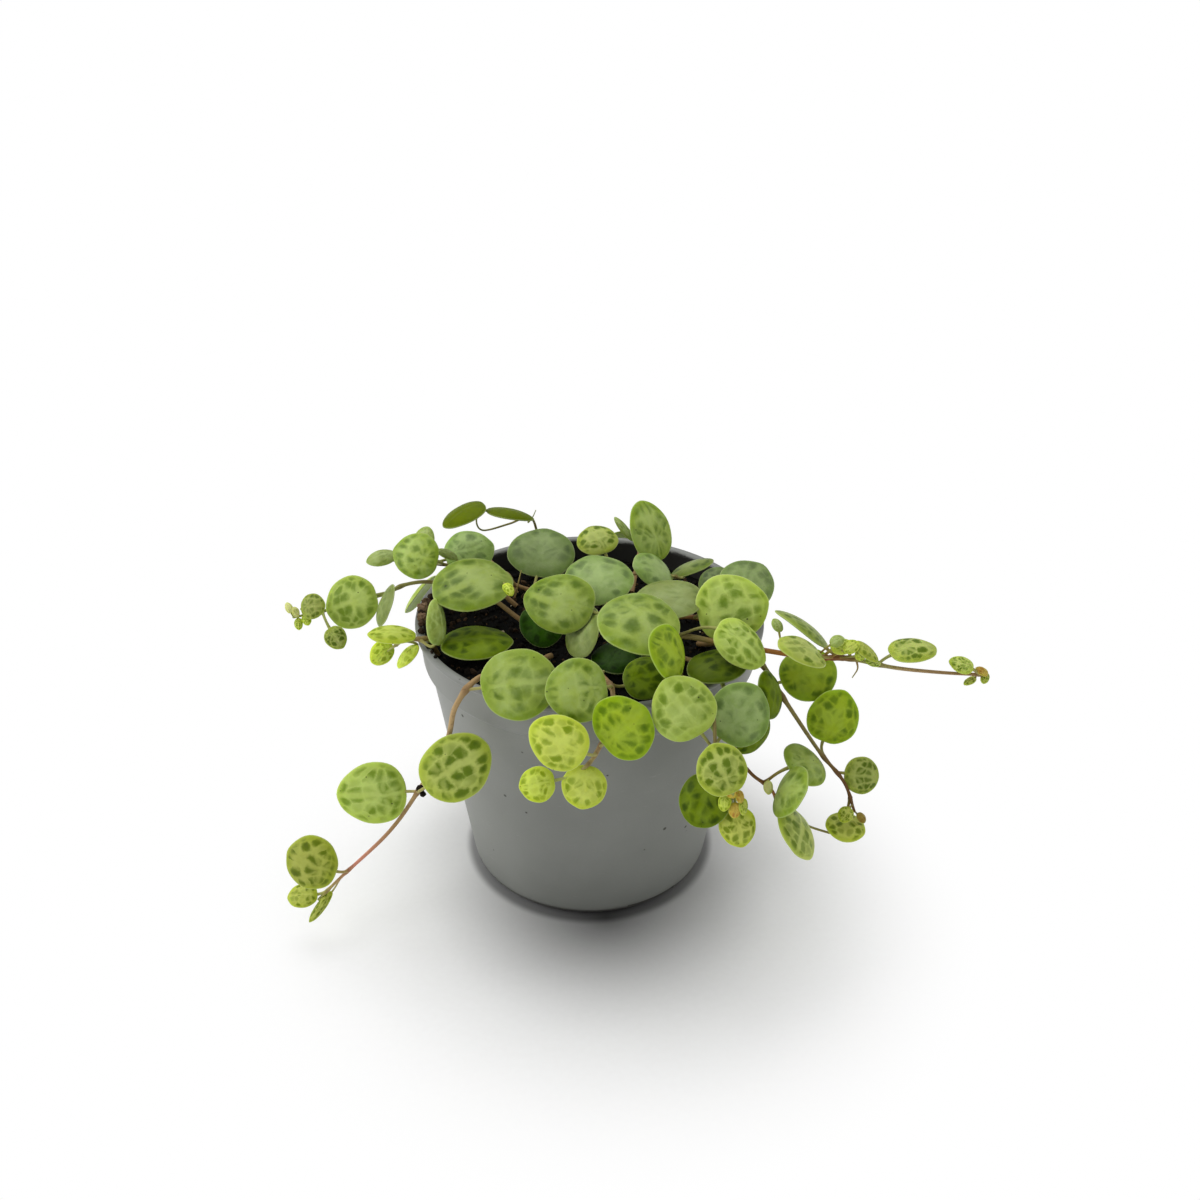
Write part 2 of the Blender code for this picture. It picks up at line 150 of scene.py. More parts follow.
class Bench:
    """Builds one node tree, of a material or of geometry."""

    def __init__(self, tree: bpy.types.NodeTree) -> None:
        """Hold the tree that nodes are added to."""
        self.tree = tree

    def plug(self, socket: bpy.types.NodeSocket, value: object) -> None:
        """Join a wire to an input, or set the input's own value.

        Args:
            socket: The input.
            value: A wire or a plain value.
        """
        if isinstance(value, Wire):
            self.tree.links.new(value.socket, socket)
        else:
            socket.default_value = value

    def node(self, kind: str, settings: dict | None = None, sockets: dict | None = None,
             output: int | str = 0) -> Wire:
        """Add a node, set it up and fill its sockets.

        Args:
            kind: The node's type.
            settings: Its properties.
            sockets: Values or wires by socket name or number.
            output: The output that is wanted.

        Returns:
            The wanted output.
        """
        made = self.tree.nodes.new(kind)
        for key, value in (settings or {}).items():
            setattr(made, key, value)
        for key, value in (sockets or {}).items():
            self.plug(made.inputs[key], value)
        return Wire(self, made.outputs[output] if made.outputs else None)

    def vector(self, operation: str, first: "Wire | Point", second: "Wire | Point") -> Wire:
        """A Vector Math node of two vectors."""
        return self.node("ShaderNodeVectorMath", {"operation": operation}, {0: first, 1: second})

    def joined(self, x: Value, y: Value, z: Value = 0.0) -> Wire:
        """A vector of three values."""
        return self.node("ShaderNodeCombineXYZ", None, {"X": x, "Y": y, "Z": z})

    def parted(self, vector: Wire) -> tuple[Wire, Wire, Wire]:
        """The three values of a vector."""
        first = self.node("ShaderNodeSeparateXYZ", None, {"Vector": vector}, "X")
        return first, first.twin("Y"), first.twin("Z")


class Paint(Bench):
    """The node tree of one material, ending in one Principled shader."""

    def __init__(self, name: str) -> None:
        """Make the material and keep its shader.

        Args:
            name: The material's name.
        """
        self.material = bpy.data.materials.new(name)
        self.material.use_nodes = True
        super().__init__(self.material.node_tree)
        self.shader = self.tree.nodes["Principled BSDF"]

    def feed(self, **sockets: object) -> None:
        """Fill sockets of the shader, named with _ for a space."""
        for name, value in sockets.items():
            self.plug(self.shader.inputs[name.replace("_", " ")], value)

    def object_place(self) -> Wire:
        """Object coordinates, in metres."""
        return self.node("ShaderNodeTexCoord", None, None, "Object")

    def attribute(self, name: str, output: str = "Fac") -> Wire:
        """A number or colour kept on the mesh."""
        return self.node("ShaderNodeAttribute", {"attribute_name": name}, None, output)

    def grain(self, place: Wire, scale: float, detail: float = 2.0, rough: float = 0.5) -> Wire:
        """A noise of 0 to 1.

        Args:
            place: Coordinates.
            scale: Repeats in a unit of them.
            detail: Octaves.
            rough: How much the finer octaves count.

        Returns:
            The noise value; its Color output is a second one.
        """
        sockets = {"Vector": place, "Scale": scale, "Detail": detail, "Roughness": rough}
        return self.node("ShaderNodeTexNoise", None, sockets, "Fac")

    def cells(self, place: Wire, scale: float, feature: str = "F1", flat: bool = True,
              randomness: float = 1.0) -> Wire:
        """The distance to the nearest (F1) or second nearest (F2) of scattered spots.

        Args:
            place: Coordinates.
            scale: Spots in a unit of them.
            feature: F1 or F2.
            flat: Whether the spots lie in a plane.
            randomness: How far they stray from a grid.

        Returns:
            The distance; its Color output is random to each spot.
        """
        settings = {"voronoi_dimensions": "2D" if flat else "3D", "feature": feature}
        sockets = {"Vector": place, "Scale": scale, "Randomness": randomness}
        return self.node("ShaderNodeTexVoronoi", settings, sockets, "Distance")

    def blend(self, first: "Wire | Colour", second: "Wire | Colour", share: Value) -> Wire:
        """Mix two colours, wires or display values, by the share of the second."""
        ends = [c if isinstance(c, Wire) else (*linear(c), 1) for c in (first, second)]
        return self.node("ShaderNodeMix", {"data_type": "RGBA"}, {0: share, 6: ends[0], 7: ends[1]}, 2)

    def toned(self, colour: Wire, value: Value) -> Wire:
        """A colour made lighter or darker."""
        return self.node("ShaderNodeHueSaturation", None, {"Color": colour, "Value": value})

    def finish(self, colour: Wire, rough: Value, height: Wire, relief: float, strength: float) -> None:
        """Join colour, roughness and relief to the shader.

        Args:
            colour: Base colour.
            rough: Roughness.
            height: Height of the relief, 0 to 1.
            relief: What a height of 1 is, in metres.
            strength: Share of the relief that shows.
        """
        sockets = {"Height": height, "Distance": relief, "Strength": strength}
        self.feed(Base_Color=colour, Roughness=rough, Normal=self.node("ShaderNodeBump", None, sockets))


class Finish:
    """How something looks. Each kind dresses a material in its own way."""

    def paint(self, name: str) -> bpy.types.Material:
        """Build the material under a name."""
        paint = Paint(name)
        self.dress(paint)
        return paint.material

    def dress(self, paint: Paint) -> None:
        """Give the material its colour, roughness and relief."""
        raise NotImplementedError


@dataclass(frozen=True)
class LeafFinish(Finish):
    """How a leaf looks: soft dark blotches between pale veins, on fleshy satin skin.

    vein, patch, heart, glow and under are display colours; glow is what the margin turns to. edge is
    how far inside its cell a blotch begins and where it is full, strength how much the blotches show,
    lines how much the veins cut into them, bloom how pale and waxen the skin looks, partly painted
    sheen, cells how many blotches lie across half the blade and gloss how much light the skin throws
    back.
    """

    vein: Colour
    patch: Colour
    heart: Colour
    glow: Colour
    under: Colour
    edge: tuple[float, float] = (-0.2, 0.34)
    strength: float = 1.0
    lines: float = 0.85
    bloom_and_sheen: float = 0.12
    cells: float = 2.6
    rough: float = 0.4
    gloss: float = 0.16

    # Colours of the pale waxen bloom with painted sheen, of the painted highlight along the edge, and of soil
    # specks.
    wax_and_sheen = (182, 200, 140)
    edge_highlight = (204, 216, 150)
    soil = (38, 34, 20)

    def dress(self, paint: Paint) -> None:
        """Lay margin, blotches, waxen bloom and painted sheen, mottle, painted edge highlight, underside and
        specks over the vein colour.

        Args:
            paint: The material's bench.
        """
        u, v, _ = paint.parted(paint.node("ShaderNodeUVMap", {"uv_map": "blade"}))
        seed = paint.attribute("seed")
        across, along = (u - 0.5) * 2, (v - 0.5) * 2
        place = paint.joined(across, along, seed * 13)
        reach = (across * across + along * along) ** 0.5
        drift_x, drift_y, drift_z = self._drift(paint, place)
        side = abs(across + drift_x * 0.36)
        ahead = along + drift_y * 0.4
        rim = reach + drift_z * 0.16
        vein = self._veins(side, ahead, seed) * rim.rise(1.05, 0.7)
        patch, heart = self._blotches(paint, place, side, ahead, seed)
        patch = patch * (1 - vein * self.lines) * rim.rise(1.0, 0.8)
        cloud = paint.grain(place, 0.95, 2)
        colour = paint.blend(self.vein, self.glow, (rim.rise(0.5, 1.0) * 0.45 + cloud - 0.42).rise(0.08, 0.7))
        colour = paint.blend(colour, self.patch, patch * self.strength)
        colour = paint.blend(colour, self.heart, heart * patch * 0.65)
        # Partly the skin's waxen bloom, partly painted sheen: a pale wash in soft clouds, a little stronger
        # towards the middle.
        wax_and_sheen_share = (paint.grain(place, 1.9, 4, 0.6) + reach.rise(1.0, 0.2) * 0.12).rise(0.42, 0.72) * self.bloom_and_sheen
        colour = paint.blend(colour, self.wax_and_sheen, wax_and_sheen_share * (1 - patch * 0.55))
        mottle = paint.grain(place, 4.5, 4, 0.6)
        colour = paint.toned(colour, 0.76 + mottle * 0.24 + cloud * 0.24 + paint.attribute("tint") * 0.25)
        speckle = paint.grain(place, 46, 2)
        colour = paint.toned(colour, 0.95 + speckle * 0.1)
        # Painted highlight: a thin pale line along the blade's edge.
        colour = paint.blend(colour, self.edge_highlight, reach.rise(0.96, 0.995) * 0.3)
        colour = paint.blend(colour, self.under, paint.attribute("under") * 0.9)
        colour = paint.blend(colour, self.soil, self._grit(paint, across, along, seed) * 0.8)
        paint.feed(Subsurface_Weight=0.18, Subsurface_Radius=(0.6, 1.0, 0.25), Subsurface_Scale=0.9 * MM,
                   Specular_IOR_Level=self.gloss)
        rough = self.rough - 0.06 + mottle * 0.12 + wax_and_sheen_share * 0.2
        height = mottle * 0.5 - patch * 0.2 - vein * 0.35 + speckle * 0.14
        paint.finish(colour, rough, height, 0.12 * MM, 0.8)

    @staticmethod
    def _grit(paint: Paint, across: Wire, along: Wire, seed: Wire) -> Wire:
        """The few specks of soil that stick to a blade.

        Args:
            paint: The material's bench.
            across: Place across the blade.
            along: Place along it.
            seed: The leaf's own number.

        Returns:
            1 on a speck, 0 beside it.
        """
        grain = paint.cells(paint.joined(across * 2.4 + seed * 17, along * 2.4 + seed * 29), 1.0)
        chance, size, _ = paint.parted(grain.twin("Color"))
        return (grain - size * 0.03).rise(0.045, 0.02) * chance.rise(0.88, 0.9)

    @staticmethod
    def _drift(paint: Paint, place: Wire) -> tuple[Wire, Wire, Wire]:
        """How far the pattern wanders at a place: slow bends with small ragged ones on them.

        Args:
            paint: The material's bench.
            place: The blade's own place.

        Returns:
            How far it wanders each way.
        """
        slow = paint.vector("SUBTRACT", paint.grain(place, 1.3, 1).twin("Color"), (0.5, 0.5, 0.5))
        quick = paint.vector("SUBTRACT", paint.grain(place, 6.0, 3, 0.6).twin("Color"), (0.5, 0.5, 0.5))
        quick = paint.vector("MULTIPLY", quick, (0.34, 0.34, 0.34))
        return paint.parted(paint.vector("ADD", slow, quick))

    @staticmethod
    def _veins(side: Wire, ahead: Wire, seed: Wire) -> Wire:
        """Pale veins that run out from a hub on the midrib, the midrib broadest.

        Args:
            side: Distance from the midrib.
            ahead: Place along the blade.
            seed: The leaf's own number.

        Returns:
            1 on a vein, fading to 0 beside it.
        """
        out = ahead + 0.25 + seed * 0.4
        length = (side * side + out * out) ** 0.5
        turn = side.arc(out) * 1.15
        gap = abs(turn - turn.nearest()) * length
        spoke = (gap + length * 0.03).rise(0.16, 0.02) * length.rise(0.0, 0.2) * length.rise(1.1, 0.6)
        midrib = (side - ahead * 0.02).rise(0.15, 0.03)
        return (spoke * 0.75).most(midrib)

    def _blotches(self, paint: Paint, place: Wire, side: Wire, ahead: Wire, seed: Wire) -> tuple[Wire, Wire]:
        """Dark blotches of uneven depth, and the darker hearts in some of them.

        Args:
            paint: The material's bench.
            place: The blade's own place.
            side: Distance from the midrib.
            ahead: Place along the blade.
            seed: The leaf's own number.

        Returns:
            The two shares, 0 to 1.
        """
        spread = (0.86 + (side * side + ahead * ahead) * 0.24) * self.cells
        spot = paint.joined(side * spread + seed * 31, ahead * spread + seed * 57)
        near, far = (paint.cells(spot, 1.0, feature, randomness=0.9) for feature in ("F1", "F2"))
        chance, odds, _ = paint.parted(near.twin("Color"))
        ragged = paint.grain(place, 4.4, 4, 0.65) - 0.5
        inside = (far - near) * 0.4 + (0.5 - near) * 0.85 + ragged * 0.8
        low, high = self.edge
        patch = inside.rise(low, high) * (0.2 + chance.rise(0.0, 0.7) * 0.8)
        return patch, (inside + ragged * 0.5).rise(high * 0.8, high + 0.35) * odds.rise(0.2, 0.7)


class Tone(Enum):
    """The leaf finishes, from fresh lime growth to old, dark or waxen blades; one paints shade on leaves deep
    in the crown.
    """

    CRISP = LeafFinish((180, 192, 98), (94, 118, 0), (74, 98, 0), (164, 180, 52), (144, 162, 60), bloom_and_sheen=0.08)
    MEADOW = LeafFinish((178, 197, 98), (100, 128, 10), (80, 110, 2), (164, 186, 66), (140, 162, 68),
                        edge=(-0.26, 0.42), lines=0.75, bloom_and_sheen=0.18, strength=0.9)
    LIME = LeafFinish((202, 214, 92), (132, 154, 22), (110, 136, 10), (184, 200, 46), (164, 182, 48))
    YELLOW = LeafFinish((206, 222, 88), (144, 166, 22), (122, 146, 10), (190, 208, 42), (170, 188, 48))
    BRIGHT = LeafFinish((166, 190, 44), (84, 116, 0), (66, 100, 0), (142, 174, 12), (136, 160, 30),
                        edge=(-0.28, 0.5), strength=0.9, bloom_and_sheen=0.08, gloss=0.1)
    SOFT = LeafFinish((160, 180, 80), (80, 108, 0), (60, 88, 0), (124, 150, 26), (130, 152, 54),
                      edge=(-0.32, 0.56), strength=0.9, bloom_and_sheen=0.28, cells=2.3)
    BLUISH = LeafFinish((144, 170, 90), (88, 114, 46), (70, 96, 32), (114, 146, 46), (124, 150, 72),
                        edge=(-0.28, 0.5), strength=0.95, bloom_and_sheen=0.35, cells=2.3, rough=0.46, gloss=0.3)
    PALE = LeafFinish((150, 166, 84), (104, 126, 36), (90, 114, 26), (136, 154, 60), (138, 156, 76),
                      edge=(-0.3, 0.6), strength=0.75, bloom_and_sheen=0.35, cells=2.3, rough=0.48, gloss=0.3)
    DARK = LeafFinish((112, 134, 12), (52, 74, 0), (38, 60, 0), (90, 112, 2), (94, 118, 20),
                      edge=(-0.28, 0.5), strength=0.95, cells=2.3, bloom_and_sheen=0.05, gloss=0.06)
    OLIVE = LeafFinish((194, 202, 92), (110, 130, 0), (92, 110, 0), (176, 190, 42), (146, 160, 44),
                       edge=(-0.22, 0.4), bloom_and_sheen=0.06)
    # Painted shade: a near-black green for leaves deep inside the crown, where shade falls.
    PAINTED_SHADE = LeafFinish((46, 84, 4), (20, 44, 0), (14, 34, 0), (34, 68, 2), (44, 70, 8),
                      edge=(-0.28, 0.5), strength=0.9, bloom_and_sheen=0.04, cells=2.3, gloss=0.06)
    PLAIN = LeafFinish((98, 114, 2), (76, 92, 0), (68, 84, 0), (92, 108, 0), (92, 108, 4),
                       edge=(-0.1, 0.7), strength=0.5, bloom_and_sheen=0.0, gloss=0.04, cells=1.5)
    TIP = LeafFinish((206, 206, 132), (166, 172, 84), (140, 140, 60), (196, 200, 110), (186, 188, 110),
                     strength=0.5, cells=1.2)
    RUSTY = LeafFinish((196, 170, 66), (164, 108, 30), (138, 78, 20), (190, 176, 56), (170, 136, 50),
                       strength=0.7, cells=1.2)


@dataclass(frozen=True)
class StemFinish(Finish):
    """How a stem looks: the path's own colours, with darker joints and brown flecks."""

    bark: Colour = (96, 66, 40)

    def dress(self, paint: Paint) -> None:
        """Lay bark on the joints and in flecks over the stem's own colour.

        Args:
            paint: The material's bench.
        """
        place = paint.object_place()
        drift = paint.grain(place, 160, 3)
        fleck = paint.grain(place, 1500, 3, 0.6)
        colour = paint.blend(paint.attribute("skin", "Color"), self.bark, paint.attribute("joint") * 0.45)
        colour = paint.blend(colour, self.bark, fleck.rise(0.56, 0.72) * 0.4)
        colour = paint.toned(colour, 0.8 + drift * 0.4)
        paint.feed(Specular_IOR_Level=0.25)
        paint.finish(colour, 0.45 + fleck * 0.2, fleck, 0.06 * MM, 0.7)


@dataclass(frozen=True)
class PotFinish(Finish):
    """How the pot looks: grey satin plastic with a faint mottle, scuffs and clinging soil specks."""

    grey: Colour = (118, 120, 115)
    light: Colour = (128, 130, 125)
    scuff: Colour = (164, 165, 160)
    speck_and_foot_shade: Colour = (40, 34, 28)
    inner_soil_and_shade: Colour = (17, 14, 11)

    def dress(self, paint: Paint) -> None:
        """Lay scuffs, soil specks, painted shade along the foot and painted shade with caked soil on the
        inner wall over the plastic.

        Args:
            paint: The material's bench.
        """
        place = paint.object_place()
        x, y, height = paint.parted(place)
        cloud = paint.grain(place, 45, 3)
        fine = paint.grain(place, 2600, 2)
        scratch = paint.grain(paint.vector("MULTIPLY", place, (1, 1, 7)), 260, 4, 0.65).rise(0.66, 0.74)
        colour = paint.blend(self.grey, self.light, cloud.rise(0.3, 0.7))
        colour = paint.blend(colour, self.scuff, scratch * 0.25)
        colour = paint.toned(colour, 0.97 + fine * 0.06)
        spot = paint.cells(place, 300.0, flat=False)
        chance, size, _ = paint.parted(spot.twin("Color"))
        often = (chance + height.rise(20 * MM, 45 * MM) * 0.12).rise(0.8, 0.83)
        dirt = (spot - size * 0.06).rise(0.08, 0.03) * often
        colour = paint.blend(colour, self.speck_and_foot_shade, dirt * 0.8)
        # Painted shade: the lowest couple of millimetres of the wall darken towards the floor in the colour
        # of the soil specks.
        foot_shade = (height + cloud * 0.5 * MM).rise(2.2 * MM, 1.4 * MM)
        colour = paint.blend(colour, self.speck_and_foot_shade, foot_shade * 0.7)
        # Painted shade with caked soil: the inner wall between the soil and just under the rim is darkened
        # nearly to black.
        inside = ((x * x + y * y) ** 0.5).rise(28.95 * MM, 28.6 * MM) * height.rise(43.3 * MM, 43.8 * MM)
        ragged = height + paint.grain(place, 420, 4, 0.6) * 1.2 * MM
        colour = paint.blend(colour, self.inner_soil_and_shade, inside * ragged.rise(50.3 * MM, 49.9 * MM) * 0.94)
        relief = fine * 0.35 + cloud * 0.5 + dirt * 0.6 - scratch * 0.2
        paint.finish(colour, 0.4 + cloud * 0.12 + dirt * 0.3, relief, 0.05 * MM, 0.6)


@dataclass(frozen=True)
class SoilFinish(Finish):
    """How compost and its loose bits look: dark to light along the bits' shade, dry and crumbly."""

    # The default colours are compost's dark brown darkened nearly to black, partly painted shade.
    dark: Colour = (7, 7, 5)
    mid: Colour = (20, 17, 12)
    pale: Colour = (58, 45, 31)
    rough: float = 0.9

    def dress(self, paint: Paint) -> None:
        """Mix the three colours by lumps and shade, with a fine grit.

        Args:
            paint: The material's bench.
        """
        place = paint.object_place()
        lump = paint.grain(place, 420, 4, 0.65)
        shade = paint.attribute("shade")
        colour = paint.blend(self.dark, self.mid, (lump * 0.9 + shade * 0.7).rise(0.45, 1.1))
        colour = paint.blend(colour, self.pale, shade.rise(0.72, 1.0))
        grit = paint.grain(place, 2400, 3, 0.6)
        colour = paint.toned(colour, 0.7 + grit * 0.6)
        paint.feed(Specular_IOR_Level=0.1)
        paint.finish(colour, self.rough, lump * 0.7 + grit * 0.3, 0.5 * MM, 0.9)


@dataclass(frozen=True)
class Leaf:
    """A round fleshy leaf.

    station is where its stalk leaves the stem (0 root, 1 tip), middle the middle of its blade in
    millimetres, facing the compass angle that its face leans towards and how far from level in
    degrees, size its length and width in millimetres, tone its finish and light how much paler
    than its finish it is (about -2 to 2).
    """

    station: float
    middle: Point
    facing: tuple[float, float]
    size: tuple[float, float]
    tone: Tone
    light: float = 0.0


TAN = (176, 148, 104)
WOOD = (152, 122, 78)
RUST = (150, 98, 40)
RED = (138, 70, 34)
UMBER = (104, 72, 34)
PINK = (196, 128, 106)
KHAKI = (130, 118, 66)
MOSS = (156, 164, 86)


@dataclass(frozen=True)
class Growth:
    """A trailing stem: its thickness and route in millimetres, soil to tip, and its leaves.

    hues are its colours from soil to tip, at even steps, buds its smallest leaves, too thin to
    count, and twigs the routes of its bare side shoots.
    """

    name: str
    girth: float
    route: tuple[Point, ...]
    leaves: tuple[Leaf, ...]
    hues: tuple[Colour, ...] = (WOOD, TAN)
    buds: tuple[Leaf, ...] = ()
    twigs: tuple[tuple[Point, ...], ...] = ()


